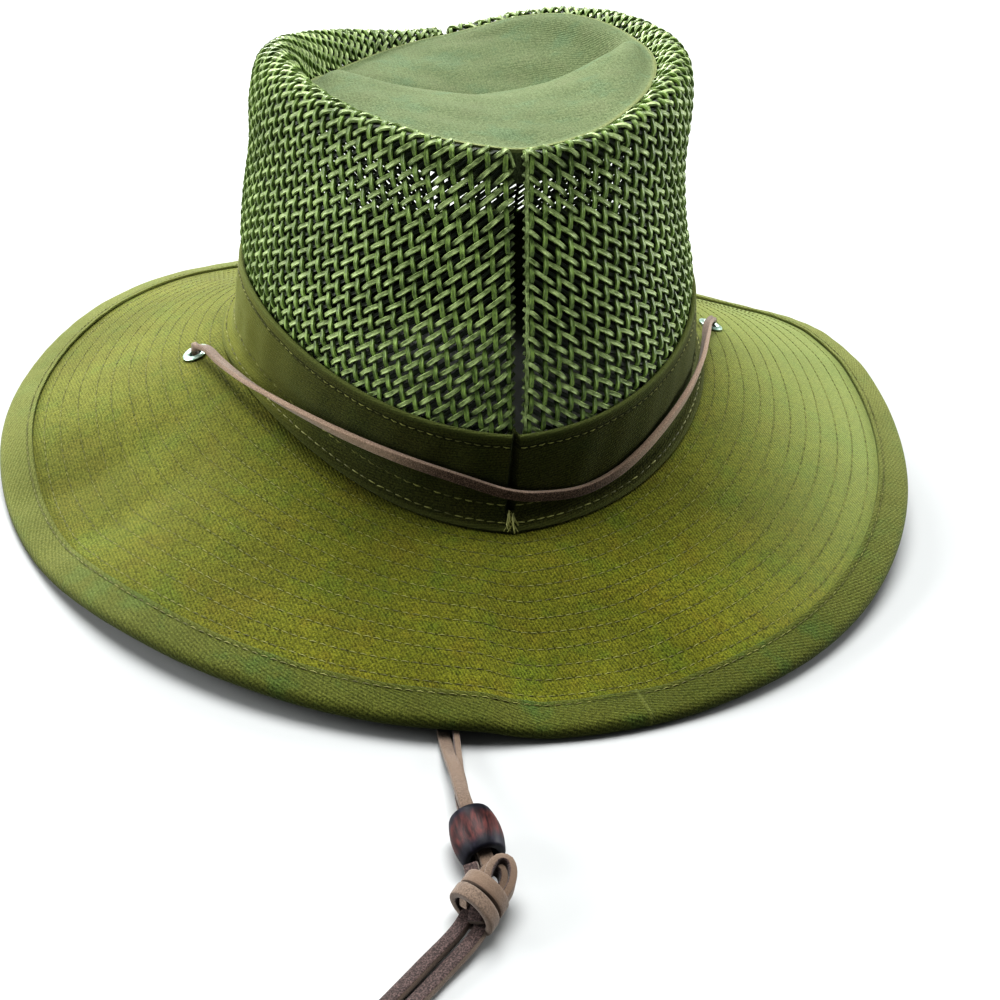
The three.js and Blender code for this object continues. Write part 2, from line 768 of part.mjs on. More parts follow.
// Knot: two wraps round the doubled lace, and the loop that stands out at its right
function cordKnot() {
  const wraps = lathe([
    [0, -KNOT_BASE], [3.2, -KNOT_BASE], [4.9, -4.2], [5.3, -2.4], [4.6, -0.6], [4.7, 0.4],
    [5.0, 2.2], [4.4, 4.0], [3.2, 4.9], [0, 4.9],
  ], 16);
  wraps.scale(1.1, 1, 1);
  place(wraps, { centre: KNOT_CENTRE, axis: KNOT_AXIS });
  const arch = [
    V(1.2, 1.2, 0.6), V(2.6, 4.6, 1.6), V(5.0, 6.9, 2.0), V(7.0, 6.6, 1.7), V(7.8, 4.6, 1.2),
    V(7.0, 1.6, 0.2), V(3.8, -1.6, -0.8),
  ].map((p) => station(p.add(KNOT_CENTRE), V(0, 0, 1)));
  return fromManifold(Manifold.union(toManifold(wraps), toManifold(lace(arch))));
}

function bead() {
  const half = BEAD_LENGTH / 2;
  const body = lathe([
    [3.1, -half + 0.3], [3.5, -half], [4.5, -half], [5.2, -half + 1.4], [5.8, -half * 0.4],
    [5.95, 0], [5.8, half * 0.4], [5.2, half - 1.4], [4.5, half], [3.5, half], [3.1, half - 0.3],
  ], 20);
  return place(body, { centre: BEAD_CENTRE, axis: V(0, 1, 0) });
}

const COLOURS = {
  twill: '#5d6b2c',
  twillPale: '#76864a',
  twillDark: '#4a5620',
  weave: '#3d5a2a',
  metal: '#c9cfc6',
  suede: '#7b6354',
  wood: '#3c1f1c',
};

const hat = new THREE.Group();
hat.name = 'fishing_hat';

// The tables are about the middle of the head; the frame is under the middle of the brim
function add(name, geometry, colour, metalness = 0, roughness = 0.85) {
  geometry.translate(FRAME_SHIFT.x, FRAME_SHIFT.y, 0);
  const material = new THREE.MeshStandardMaterial({ color: colour, metalness, roughness });
  const mesh = new THREE.Mesh(geometry, material);
  mesh.name = name;
  hat.add(mesh);
}

add('crown_tip', crownTip(), COLOURS.twillPale);
add('crown_mesh_left', weaveHalf(-1), COLOURS.weave);
add('crown_mesh_right', weaveHalf(1), COLOURS.weave);
add('crown_band', loop(ROUND_FAN.map(bandSection)), COLOURS.twillDark);
add('brim', brim(), COLOURS.twill);
add('brim_binding', loop(ROUND_FAN.map(bindingSection)), COLOURS.twill);
add('eyelet_left', eyelet(SEAT_LEFT), COLOURS.metal, 0.9, 0.3);
add('eyelet_right', eyelet(SEAT_RIGHT), COLOURS.metal, 0.9, 0.3);
add('chin_cord', chinCord(), COLOURS.suede);
add('bead', bead(), COLOURS.wood, 0, 0.35);
add('cord_knot', cordKnot(), COLOURS.suede);
add('cord_tail_left', cordTail(-1), COLOURS.suede);
add('cord_tail_right', cordTail(1), COLOURS.suede);

export default hat;
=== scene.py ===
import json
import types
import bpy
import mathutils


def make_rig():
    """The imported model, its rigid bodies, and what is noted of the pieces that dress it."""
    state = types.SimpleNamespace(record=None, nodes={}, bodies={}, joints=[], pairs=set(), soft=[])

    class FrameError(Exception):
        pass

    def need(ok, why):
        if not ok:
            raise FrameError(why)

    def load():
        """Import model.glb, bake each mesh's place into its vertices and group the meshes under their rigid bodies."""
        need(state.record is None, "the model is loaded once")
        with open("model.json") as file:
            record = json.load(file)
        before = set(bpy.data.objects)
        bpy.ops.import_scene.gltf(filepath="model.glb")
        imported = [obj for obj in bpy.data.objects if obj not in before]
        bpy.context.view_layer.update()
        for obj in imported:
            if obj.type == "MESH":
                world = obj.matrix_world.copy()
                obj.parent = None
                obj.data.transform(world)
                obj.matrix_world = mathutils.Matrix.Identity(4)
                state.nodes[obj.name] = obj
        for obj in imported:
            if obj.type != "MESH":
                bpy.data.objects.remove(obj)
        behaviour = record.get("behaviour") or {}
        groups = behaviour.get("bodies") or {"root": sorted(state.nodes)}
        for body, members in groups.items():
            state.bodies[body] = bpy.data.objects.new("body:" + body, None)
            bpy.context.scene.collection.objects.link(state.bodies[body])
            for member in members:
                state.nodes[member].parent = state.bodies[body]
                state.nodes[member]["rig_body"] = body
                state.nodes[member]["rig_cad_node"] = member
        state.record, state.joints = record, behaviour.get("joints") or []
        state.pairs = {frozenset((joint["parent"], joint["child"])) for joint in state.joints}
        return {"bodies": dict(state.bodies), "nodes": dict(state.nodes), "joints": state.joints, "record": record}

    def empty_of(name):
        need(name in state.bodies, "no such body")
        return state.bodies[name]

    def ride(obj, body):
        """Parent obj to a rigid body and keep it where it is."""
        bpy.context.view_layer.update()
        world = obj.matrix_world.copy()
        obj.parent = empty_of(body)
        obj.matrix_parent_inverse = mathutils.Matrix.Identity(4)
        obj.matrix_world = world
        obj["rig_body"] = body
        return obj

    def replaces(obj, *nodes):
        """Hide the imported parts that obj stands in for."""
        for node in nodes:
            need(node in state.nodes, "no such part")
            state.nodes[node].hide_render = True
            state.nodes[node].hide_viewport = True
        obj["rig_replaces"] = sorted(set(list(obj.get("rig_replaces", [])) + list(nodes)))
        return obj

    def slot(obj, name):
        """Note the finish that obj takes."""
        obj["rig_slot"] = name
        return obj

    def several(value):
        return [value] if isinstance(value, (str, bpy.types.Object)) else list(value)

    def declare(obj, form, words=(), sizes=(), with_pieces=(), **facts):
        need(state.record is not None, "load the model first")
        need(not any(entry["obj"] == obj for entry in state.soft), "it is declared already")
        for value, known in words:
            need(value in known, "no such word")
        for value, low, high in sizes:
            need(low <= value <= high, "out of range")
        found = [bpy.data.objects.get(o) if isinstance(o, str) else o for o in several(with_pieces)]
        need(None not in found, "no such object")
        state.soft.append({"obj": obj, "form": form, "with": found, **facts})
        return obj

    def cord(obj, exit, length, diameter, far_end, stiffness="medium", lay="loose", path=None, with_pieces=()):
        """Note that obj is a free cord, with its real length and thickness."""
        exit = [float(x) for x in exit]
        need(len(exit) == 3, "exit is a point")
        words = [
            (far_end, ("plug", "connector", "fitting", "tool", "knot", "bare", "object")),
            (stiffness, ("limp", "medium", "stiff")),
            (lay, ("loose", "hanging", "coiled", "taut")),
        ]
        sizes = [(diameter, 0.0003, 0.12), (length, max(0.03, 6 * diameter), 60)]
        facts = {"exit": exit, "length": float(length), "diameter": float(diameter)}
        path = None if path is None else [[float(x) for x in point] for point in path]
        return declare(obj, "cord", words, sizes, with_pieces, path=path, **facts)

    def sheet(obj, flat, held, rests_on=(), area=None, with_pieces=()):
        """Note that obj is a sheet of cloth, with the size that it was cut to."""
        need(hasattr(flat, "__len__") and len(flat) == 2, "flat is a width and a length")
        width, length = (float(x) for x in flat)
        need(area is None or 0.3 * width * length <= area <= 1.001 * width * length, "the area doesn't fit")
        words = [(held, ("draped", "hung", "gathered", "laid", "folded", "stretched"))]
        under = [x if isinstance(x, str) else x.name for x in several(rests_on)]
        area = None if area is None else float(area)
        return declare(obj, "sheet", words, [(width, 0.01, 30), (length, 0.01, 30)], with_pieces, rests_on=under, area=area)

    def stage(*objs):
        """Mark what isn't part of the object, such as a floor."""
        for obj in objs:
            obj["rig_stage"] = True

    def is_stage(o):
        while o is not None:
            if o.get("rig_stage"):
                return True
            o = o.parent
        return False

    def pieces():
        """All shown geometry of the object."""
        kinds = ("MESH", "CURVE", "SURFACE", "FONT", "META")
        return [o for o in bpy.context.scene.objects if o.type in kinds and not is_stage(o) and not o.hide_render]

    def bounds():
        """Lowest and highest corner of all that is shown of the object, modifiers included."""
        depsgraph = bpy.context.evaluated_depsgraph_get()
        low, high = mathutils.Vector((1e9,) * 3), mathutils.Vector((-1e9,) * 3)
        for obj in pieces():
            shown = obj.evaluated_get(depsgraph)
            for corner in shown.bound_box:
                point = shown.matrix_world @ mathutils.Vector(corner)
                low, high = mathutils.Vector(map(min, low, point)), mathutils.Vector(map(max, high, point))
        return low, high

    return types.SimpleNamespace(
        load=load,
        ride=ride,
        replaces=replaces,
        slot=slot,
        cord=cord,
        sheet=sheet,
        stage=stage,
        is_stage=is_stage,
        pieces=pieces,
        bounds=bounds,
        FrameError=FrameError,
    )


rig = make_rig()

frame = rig.load()

import json
import math

import bpy
import numpy as np
from mathutils import Matrix, Vector

cad_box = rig.bounds()
bpy.ops.object.select_all(action="DESELECT")

# Camera
# The camera is held behind the hat and above it, looking down at 32 degrees, turned a little to
# the right and tipped over by 5 degrees. Its place is in metres, and its focal length is a share
# of the frame's width.
EYE = (-0.0639, -0.36775, 0.19614)
YAW = math.radians(12.785)
PITCH = math.radians(32.0)
ROLL = math.radians(4.98)
FOCAL_SHARE = 1.1043

ahead = Vector((math.sin(YAW) * math.cos(PITCH), math.cos(YAW) * math.cos(PITCH), -math.sin(PITCH)))
level = Vector((math.cos(YAW), -math.sin(YAW), 0))
to_right = level * math.cos(ROLL) + level.cross(ahead) * math.sin(ROLL)
to_top = to_right.cross(ahead)
bpy.ops.object.camera_add(location=EYE)
camera = bpy.context.object
camera.rotation_euler = Matrix((to_right, to_top, -ahead)).transposed().to_euler()
camera.data.lens = FOCAL_SHARE * camera.data.sensor_width
camera.data.clip_start = 0.01
bpy.context.scene.camera = camera

# Chin cord
# One flat suede lace, 3.2 by 1.7 mm, grain on one side and nap on the other. It runs from the
# knot through the bead, under the brim and up the left eyelet, round the back of the band, down
# the right eyelet and back to the knot. All route points are in millimetres.
MM = 0.001
FRAME_SHIFT = np.array((0.4, 3.0, 0.0))
LACE_WIDTH = 3.2
LACE_THICK = 1.7
LACE_STEP = 1.6
LACE_FINE = 30
FLOOR_LACE_Z = 1.15
EDGEWISE_Z = 2.05
UPRIGHT = (0.0, 0.0, 1.0)
FLAT = (1.0, 0.0, 0.0)
BEAD_CENTRE = np.array((-26.4, -209.9, 5.9))
BEAD_YAW = math.radians(9)
BEAD_PITCH = math.radians(4)
BEAD_AXIS = np.array((-math.sin(BEAD_YAW) * math.cos(BEAD_PITCH),
                      math.cos(BEAD_YAW) * math.cos(BEAD_PITCH), math.sin(BEAD_PITCH)))
KNOT_CENTRE = np.array((-28.5, -226.1, 5.85))
KNOT_AXIS = np.array((0.66, 0.74, 0.12)) / math.sqrt(0.66 ** 2 + 0.74 ** 2 + 0.12 ** 2)

# Crown rings: half widths right and left, reach to back and front, heights at the four sides,
# how far the back seam draws the ring out, and how far its back left quarter is drawn in
RING_COLUMNS = "right left back front z_back z_right z_left z_front point pull"
CROWN_RINGS = {
    "edge": (85.2, 85.2, -104.8, 104.0, 16.5, 39.5, 35.5, 18.0, 2.2, 0.045),
    "crease": (81.2, 80.8, -100.4, 99.8, 21.5, 44.0, 40.0, 23.0, 1.5, 0.04),
    "mid": (79.6, 79.6, -100.2, 98.8, 33.0, 55.0, 51.0, 35.0, 1.5, 0.012),
    "top": (77.4, 78.2, -100.0, 96.6, 45.0, 67.0, 63.0, 47.0, 2.0, 0),
    "waist": (72.0, 75.8, -87.0, 92.0, 79.0, 87.0, 82.0, 80.0, 1.5, 0),
    "neck": (70.2, 73.2, -78.2, 88.5, 99.0, 104.0, 98.0, 101.0, 1.2, 0),
    "shoulder": (70.6, 72.4, -72.4, 86.0, 113.0, 124.0, 113.0, 117.0, 0.8, 0),
}
CROWN_RINGS = {key: dict(zip(RING_COLUMNS.split(), row)) for key, row in CROWN_RINGS.items()}
CROWN_SWELL = 0.010
SEAM_POINT_WIDTH = 0.16


def stack(x, y, z):
    return np.stack(np.broadcast_arrays(x, y, z), axis=-1).astype(float)


def ring_point(name, degrees):
    row = CROWN_RINGS[name]
    phi = np.radians(degrees)
    s, c = np.sin(phi), np.cos(phi)
    width = (row["right"] + row["left"]) / 2 + (row["right"] - row["left"]) / 2 * s
    pull = np.where((s < 0) & (c > 0), -row["pull"], CROWN_SWELL)
    swell = 1 + pull * np.sin(2 * phi) ** 2
    off = np.abs(np.arctan2(s, c))
    reach = (row["front"] - row["back"]) / 2
    y = (row["back"] + row["front"]) / 2 - reach * c * swell
    y = y - row["point"] * np.exp(-off / SEAM_POINT_WIDTH)
    z = row["z_back"] * np.maximum(0, c) ** 2 + row["z_front"] * np.maximum(0, -c) ** 2
    z = z + row["z_right"] * np.maximum(0, s) ** 2 + row["z_left"] * np.maximum(0, -s) ** 2
    return stack(width * s * swell, y, z)


def unit(vectors):
    return vectors / np.maximum(np.linalg.norm(vectors, axis=-1, keepdims=True), 1e-9)


def outward(point_at, degrees):
    """Level direction square to a ring, out of the hat"""
    step = point_at(np.asarray(degrees) + 0.5) - point_at(np.asarray(degrees) - 0.5)
    return unit(stack(step[..., 1], -step[..., 0], 0))


def ring_outward(name, degrees):
    return outward(lambda a: ring_point(name, a), degrees)


def offset_ring(name, degrees, out, rise=0.0):
    point = ring_point(name, degrees)
    point = point + ring_outward(name, degrees) * np.asarray(out)[..., None]
    point[..., 2] += rise
    return point


def run_along(points):
    """Distance along each line of points, from its first one"""
    steps = np.linalg.norm(np.diff(points, axis=-2), axis=-1)
    return np.concatenate((np.zeros((*steps.shape[:-1], 1)), np.cumsum(steps, axis=-1)), axis=-1)


def points_at(wanted, run, line):
    """Points of a line at wanted distances along it"""
    return stack(*[np.interp(wanted, run, line[:, axis]) for axis in range(3)])


def hermite(start, end, start_slope, end_slope, t):
    square, cube = t * t, t * t * t
    return (start * (2 * cube - 3 * square + 1) + start_slope * (cube - 2 * square + t)
            + end * (3 * square - 2 * cube) + end_slope * (cube - square))


def through(pins, at):
    """Points of a smooth curve through pins, at places counted in pins from the first one"""
    gap = np.sqrt(np.linalg.norm(np.diff(pins, axis=-2), axis=-1))[..., None]
    speed = np.diff(pins, axis=-2) / gap
    before, after = gap[..., :-1, :], gap[..., 1:, :]
    inner = (speed[..., :-1, :] * after + speed[..., 1:, :] * before) / (before + after)
    slope = np.concatenate((speed[..., :1, :], inner, speed[..., -1:, :]), axis=-2)
    k = np.clip(np.floor(at).astype(int), 0, pins.shape[-2] - 2)
    t = (np.asarray(at) - k)[..., None]
    here = gap[..., k, :]
    return hermite(pins[..., k, :], pins[..., k + 1, :], slope[..., k, :] * here,
                   slope[..., k + 1, :] * here, t)


# Half outline of the lace's section: share of half the width, share of half the thickness
LACE_CORNER = ((1.0, 0.0), (0.985, 0.5), (0.93, 0.86), (0.8, 1.0), (0.4, 1.03), (0.0, 1.0))
LACE_SECTION = np.array(
    [(u, v) for u, v in LACE_CORNER] + [(-u, v) for u, v in LACE_CORNER[-2::-1]]
    + [(-u, -v) for u, v in LACE_CORNER[1:]] + [(u, -v) for u, v in LACE_CORNER[-2:0:-1]])


def lace_rings(stations, step=LACE_STEP):
    """Rings of points along a lace, its centres, and each point's place on the straight lace"""
    pins = np.array([s[0] for s in stations], float)
    widths = np.array([s[1] for s in stations], float)
    fine = np.linspace(0, len(pins) - 1, LACE_FINE * (len(pins) - 1) + 1)
    run = run_along(through(pins, fine))
    places = np.linspace(0, run[-1], max(4, int(run[-1] / step)))
    at = np.interp(places, run, fine)
    centre = through(pins, at)
    ahead_of = unit(np.gradient(centre, axis=0))
    wide = points_at(at, np.arange(len(pins)), widths)
    wide = unit(wide - ahead_of * (wide * ahead_of).sum(-1, keepdims=True))
    deep = np.cross(ahead_of, wide)
    u, v = LACE_SECTION[:, 0] * LACE_WIDTH / 2, LACE_SECTION[:, 1] * LACE_THICK / 2
    rings = centre[:, None] + wide[:, None] * u[:, None] + deep[:, None] * v[:, None]
    straight = stack(u[None], places[:, None], v[None])
    return rings, centre, straight


def bundle(name, tubes, runs, tones=None):
    """One mesh of many tubes. Each is a grid of rings, closed round and capped at both ends."""
    faces, start = [], 0
    for tube in tubes:
        rows, columns = tube.shape[:2]
        index = start + np.arange(rows * columns).reshape(rows, columns)
        turned = np.roll(index, -1, axis=1)
        quads = np.stack((index[:-1], turned[:-1], turned[1:], index[1:]), axis=-1)
        faces += quads.reshape(-1, 4).tolist()
        faces += [index[0, ::-1].tolist(), index[-1].tolist()]
        start += rows * columns
    mesh = bpy.data.meshes.new(name)
    points = np.concatenate([t.reshape(-1, 3) for t in tubes])
    mesh.from_pydata((points + FRAME_SHIFT) * MM, [], faces)
    lie = mesh.attributes.new("run", "FLOAT_VECTOR", "POINT")
    lie.data.foreach_set("vector", np.concatenate([r.reshape(-1, 3) for r in runs]).ravel())
    if tones is not None:
        tone = mesh.attributes.new("tone", "FLOAT", "POINT")
        tone.data.foreach_set("value", np.concatenate([t.ravel() for t in tones]))
    piece = bpy.data.objects.new(name, mesh)
    bpy.context.collection.objects.link(piece)
    return piece


def face_out(piece, degrees=40):
    """Turns all faces outwards and shades the piece smooth, apart from its sharp edges"""
    bpy.ops.object.select_all(action="DESELECT")
    bpy.context.view_layer.objects.active = piece
    piece.select_set(True)
    bpy.ops.object.mode_set(mode="EDIT")
    bpy.ops.mesh.select_all(action="SELECT")
    bpy.ops.mesh.normals_make_consistent(inside=False)
    bpy.ops.object.mode_set(mode="OBJECT")
    bpy.ops.object.shade_smooth_by_angle(angle=math.radians(degrees))
    piece.select_set(False)


def between(start, end, share):
    return start + (end - start) * share


class Wire:
    """A socket of a material's node tree. Sums and products of wires add Math nodes."""

    def __init__(self, tree, socket=None):
        self.tree, self.socket = tree, socket

    def node(self, kind, settings, inputs, output=0):
        """A new node, with its settings, and the values or wires of its sockets"""
        new = self.tree.nodes.new(kind)
        for key, value in settings.items():
            setattr(new, key, value)
        for key, value in inputs.items():
            if isinstance(value, Wire):
                self.tree.links.new(value.socket, new.inputs[key])
            else:
                new.inputs[key].default_value = value
        return Wire(self.tree, new.outputs[output])

    def maths(self, operation, *values):
        return self.node("ShaderNodeMath", {"operation": operation}, dict(enumerate(values)))

    def __add__(self, other):
        return self.maths("ADD", self, other)

    def __sub__(self, other):
        return self.maths("SUBTRACT", self, other)

    def __rsub__(self, other):
        return self.maths("SUBTRACT", other, self)

    def __mul__(self, other):
        return self.maths("MULTIPLY", self, other)

    def __abs__(self):
        return self.maths("ABSOLUTE", self)

    __radd__, __rmul__ = __add__, __mul__

    def clamped(self, low, high):
        """0 below low, 1 above high, smooth between"""
        settings = {"interpolation_type": "SMOOTHSTEP"}
        return self.node("ShaderNodeMapRange", settings, {0: self, 1: low, 2: high})

    def mixed(self, first, second):
        """Colour from first at 0 to second at 1"""
        return self.node("ShaderNodeMix", {"data_type": "RGBA"}, {0: self, 6: first, 7: second}, 2)

    def parts(self):
        return [self.node("ShaderNodeSeparateXYZ", {}, {0: self}, k) for k in range(3)]

    def noise(self, scale, detail=2.0, rough=0.5, stretch=None):
        place = self
        if stretch:
            place = self.node("ShaderNodeVectorMath", {"operation": "MULTIPLY"},
                              {0: self, 1: stretch})
        return self.node("ShaderNodeTexNoise", {},
                         {"Vector": place, "Scale": scale, "Detail": detail, "Roughness": rough})

    def raised(self, strength, distance_mm, under=None):
        """Bumps of that height, on top of other bumps"""
        inputs = {"Height": self, "Strength": strength, "Distance": distance_mm * MM}
        if under is not None:
            inputs["Normal"] = under
        return self.node("ShaderNodeBump", {}, inputs)


def rgba(red, green, blue):
    return (red, green, blue, 1.0)


def finish_for(name):
    """A new material: its node tree as an empty wire, and its shader"""
    material = bpy.data.materials.new(name)
    material.use_nodes = True
    tree = material.node_tree
    shader = next(n for n in tree.nodes if n.type == "BSDF_PRINCIPLED")
    return material, Wire(tree), shader


def join_to(shader, wire, socket):
    wire.tree.links.new(wire.socket, shader.inputs[socket])


def lie_of(wire):
    """The piece's own coordinates in millimetres: across, along and up for a lace or a yarn, and
    along and across for a strip of cloth"""
    return wire.node("ShaderNodeAttribute", {"attribute_name": "run"}, {}, 1)


def mark_of(wire, name):
    """A number that the mesh keeps for each of its points"""
    return wire.node("ShaderNodeAttribute", {"attribute_name": name}, {}, 2)


def place_of(wire):
    """Object coordinates in millimetres"""
    coordinates = wire.node("ShaderNodeTexCoord", {}, {}, 3)
    return coordinates.node("ShaderNodeVectorMath", {"operation": "MULTIPLY"},
                            {0: coordinates, 1: (1000.0, 1000.0, 1000.0)})


# Colours of the lace, each from shade to light: its nap, the nap with painted light, the nap's
# face with painted shade, and the grain side
NAP = rgba(0.085, 0.063, 0.049), rgba(0.22, 0.168, 0.130)
NAP_PATCH = rgba(0.155, 0.112, 0.082)
NAP_PAINTED_LIGHT = rgba(0.20, 0.145, 0.105), rgba(0.44, 0.33, 0.255)
NAP_PAINTED_SHADE = rgba(0.05, 0.03, 0.022), rgba(0.27, 0.185, 0.145)
GRAIN_SIDE = rgba(0.022, 0.014, 0.013), rgba(0.125, 0.085, 0.078)
# How far from the middle of its run, behind the crown, the lace has painted light and its face
# painted shade: fully within the first distance, and no more past the second
PAINTED_LIGHT_TO = (120, 165)
PAINTED_SHADE_TO = (22, 50)


def suede(middle):
    """Napped tan on one side and the cut edges, darker speckled grain on the other side"""
    material, wire, shader = finish_for("suede")
    lie = lie_of(wire)
    across, along, deep = lie.parts()
    grain = deep.clamped(0.45, 0.8)
    speckle = lie.noise(2.6, 3.0, 0.7)
    patches = lie.noise(0.16, 2.0, 0.5, (1.0, 0.35, 1.0))
    nap = speckle.clamped(0.25, 0.8).mixed(*NAP)
    nap = patches.clamped(0.35, 0.75).mixed(nap, NAP_PATCH)
    from_middle = abs(along - middle)
    # Painted light: the nap, and partly the grain side, paler along the run behind the crown
    wear_and_painted_light = 1 - from_middle.clamped(*PAINTED_LIGHT_TO)
    painted_light = speckle.clamped(0.3, 0.75).mixed(*NAP_PAINTED_LIGHT)
    nap = wear_and_painted_light.mixed(nap, painted_light)
    hide = speckle.clamped(0.38, 0.72).mixed(*GRAIN_SIDE)
    # Painted shade: the nap's face darker near the middle of that run, its cut edges left pale
    face_painted_shade = (1 - from_middle.clamped(*PAINTED_SHADE_TO)) * (0 - deep).clamped(0.5, 0.8)
    nap = face_painted_shade.mixed(nap, speckle.clamped(0.4, 0.75).mixed(*NAP_PAINTED_SHADE))
    hide = (wear_and_painted_light * 0.6).mixed(hide, painted_light)
    join_to(shader, grain.mixed(nap, hide), "Base Color")
    join_to(shader, 0.92 - grain * 0.15, "Roughness")
    fibres = lie.noise(5.0, 3.0, 0.7, (1.0, 0.5, 1.0))
    bumps = speckle.raised(0.5, 0.16)
    join_to(shader, fibres.raised(0.5, 0.12, bumps), "Normal")
    shader.inputs["Sheen Weight"].default_value = 0.25
    shader.inputs["Sheen Roughness"].default_value = 0.5
    shader.inputs["Specular IOR Level"].default_value = 0.25
    return material


# Where each strand passes under the brim's back edge, and its places along the bead's bore,
# where the left strand lies on the right one
STRAND_LANE = {-1: -28.6, 1: -25.7}
BACK_EDGE_Y = -174.5
BORE_PLACES = (-9.0, -5.0, 5.0, 9.5)
BORE_LIFT = 1.02


def strand_out(side):
    """The strand on one side of the knot: through the bead, along the floor, under the brim"""
    lane = STRAND_LANE[side]
    wide = FLAT if side < 0 else UPRIGHT
    low = FLOOR_LACE_Z if side < 0 else EDGEWISE_Z
    stacked = np.array((0, 0, -BORE_LIFT * side))
    bore = [tuple(BEAD_CENTRE + BEAD_AXIS * d + stacked) for d in BORE_PLACES]
    x, y, _ = bore[-1]
    slope = [((between(x, lane, t), between(y, BACK_EDGE_Y, t), drop), wide)
             for t, drop in ((0.42, 4.6 - 0.7 * side), (0.82, 2.0))]
    return [(at, FLAT) for at in bore] + slope + [
        ((lane, BACK_EDGE_Y + 1, low), wide), ((lane, BACK_EDGE_Y + 9, low), wide)]


# Brim edge: height of the middle of the cloth by azimuth, and 1 where it lies on the floor
BRIM_EDGE = np.array((
    (0, 2.1, 1), (11, 2.1, 1), (20, 3.2, 0.3), (30, 3.8, 0), (40, 5.2, 0), (50, 8.5, 0),
    (60, 12.2, 0), (72, 15.6, 0), (80, 18.0, 0), (89, 20.3, 0), (97, 20.0, 0), (105, 17.0, 0),
    (115, 10.8, 0), (126, 5.8, 0), (140, 3.0, 0.2), (160, 2.1, 1), (200, 2.1, 1),
    (213, 3.6, 0.2), (230, 6.8, 0), (240, 7.3, 0), (253, 6.2, 0), (263, 5.4, 0), (270, 5.4, 0),
    (279, 4.9, 0.1), (285.5, 3.3, 0.5), (291.5, 2.1, 1), (299.5, 2.1, 1), (306, 3.4, 0.5),
    (312.5, 5.2, 0.1), (320, 6.4, 0), (329, 6.3, 0), (339, 5.4, 0), (345, 5.1, 0),
    (349, 5.2, 0.1), (352.8, 4.9, 0.2), (356.5, 3.1, 0.8)))
BRIM_PLAN = {"right": 158.6, "left": 159.4, "back": -177.6, "front": 171.6}
BRIM_SWELL = 0.003
# Slope of the cloth at the band's foot and at the edge, as a share of a straight fall
FOOT_SLOPE = 1.05
EDGE_SLOPE = 0.8
BRIM_WALL = 1.6
FLARE_WALL = 1.0
FLARE_GAP = 0.4
BRIM_STRAIGHT = 11.5
EYELET_OUT = 13.4


def around(rows, column, degrees):
    """Smooth value of a table's column by azimuth, round and round, without overshoot"""
    a = np.asarray(degrees, float) % 360
    x = np.r_[rows[-2:, 0] - 360, rows[:, 0], rows[:2, 0] + 360]
    y = np.r_[rows[-2:, column], rows[:, column], rows[:2, column]]
    steep = np.diff(y) / np.diff(x)
    product = steep[:-1] * steep[1:]
    total = np.where(product > 0, steep[:-1] + steep[1:], 1)
    slope = np.r_[0, np.where(product > 0, 2 * product / total, 0), 0]
    k = np.searchsorted(x, a, side="right") - 1
    wide = x[k + 1] - x[k]
    return hermite(y[k], y[k + 1], slope[k] * wide, slope[k + 1] * wide, (a - x[k]) / wide)


def edge_point(degrees):
    phi = np.radians(degrees)
    s = np.sin(phi)
    plan = BRIM_PLAN
    width = (plan["right"] + plan["left"]) / 2 + (plan["right"] - plan["left"]) / 2 * s
    swell = 1 + BRIM_SWELL * np.sin(2 * phi) ** 2
    reach = (plan["front"] - plan["back"]) / 2
    y = (plan["back"] + plan["front"]) / 2 - reach * np.cos(phi) * swell
    return stack(width * s * swell, y, around(BRIM_EDGE, 1, degrees))


class BrimLine:
    """The brim's cloth at some azimuths, from the band's foot at share 0 to the edge at 1"""

    def __init__(self, degrees):
        self.inner = offset_ring("edge", degrees, 0.0, -(FLARE_WALL + FLARE_GAP + BRIM_WALL / 2))
        self.outer = edge_point(degrees)
        flat = around(BRIM_EDGE, 2, degrees)
        across = self.outer - self.inner
        self.width = np.hypot(across[..., 0], across[..., 1])
        self.end_slope = across[..., 2] * EDGE_SLOPE * (1 - flat)
        self.start_slope = across[..., 2] * FOOT_SLOPE
        self.knee = 1 - BRIM_STRAIGHT / self.width
        way = unit(across * (1, 1, 0))
        self.skew = 1 / (way * outward(edge_point, degrees)).sum(-1)

    def at(self, share):
        point = self.inner + (self.outer - self.inner) * np.asarray(share)[..., None]
        knee_z = self.outer[..., 2] - self.end_slope * (1 - self.knee)
        t = np.clip(share / self.knee, 0, 1)
        curve = hermite(self.inner[..., 2], knee_z, self.start_slope * self.knee,
                        self.end_slope * self.knee, t)
        rim = self.outer[..., 2] - self.end_slope * (1 - share)
        under = self.inner[..., 2] + self.start_slope * share
        point[..., 2] = np.where(share >= self.knee, rim, np.where(share < 0, under, curve))
        return point

    def in_from_edge(self, reach):
        return 1 - reach * self.skew / self.width


def eyelet_seat(degrees):
    line = BrimLine(degrees)
    gap = ring_point("edge", degrees) - ring_point("crease", degrees)
    share = (EYELET_OUT - math.hypot(gap[0], gap[1])) / line.width
    along = unit(line.at(share + 0.05) - line.at(share - 0.05))
    across = unit(BrimLine(degrees + 3).at(share) - BrimLine(degrees - 3).at(share))
    axis = unit(np.cross(along, across))
    return line.at(share), axis if axis[2] > 0 else -axis


SEAT_LEFT = eyelet_seat(-84)
SEAT_RIGHT = eyelet_seat(89)
# Where the lace passes an eyelet, along its axis
EYELET_PLACES = (-9, -3, 0, 3.1)


def up_through(seat, below):
    """Up from a point under the brim and through an eyelet, at places along the eyelet's axis"""
    centre, axis = seat
    side = (0.0, 1.0, 0.0)
    return [(below, side)] + [(tuple(centre + axis * d), side) for d in EYELET_PLACES]


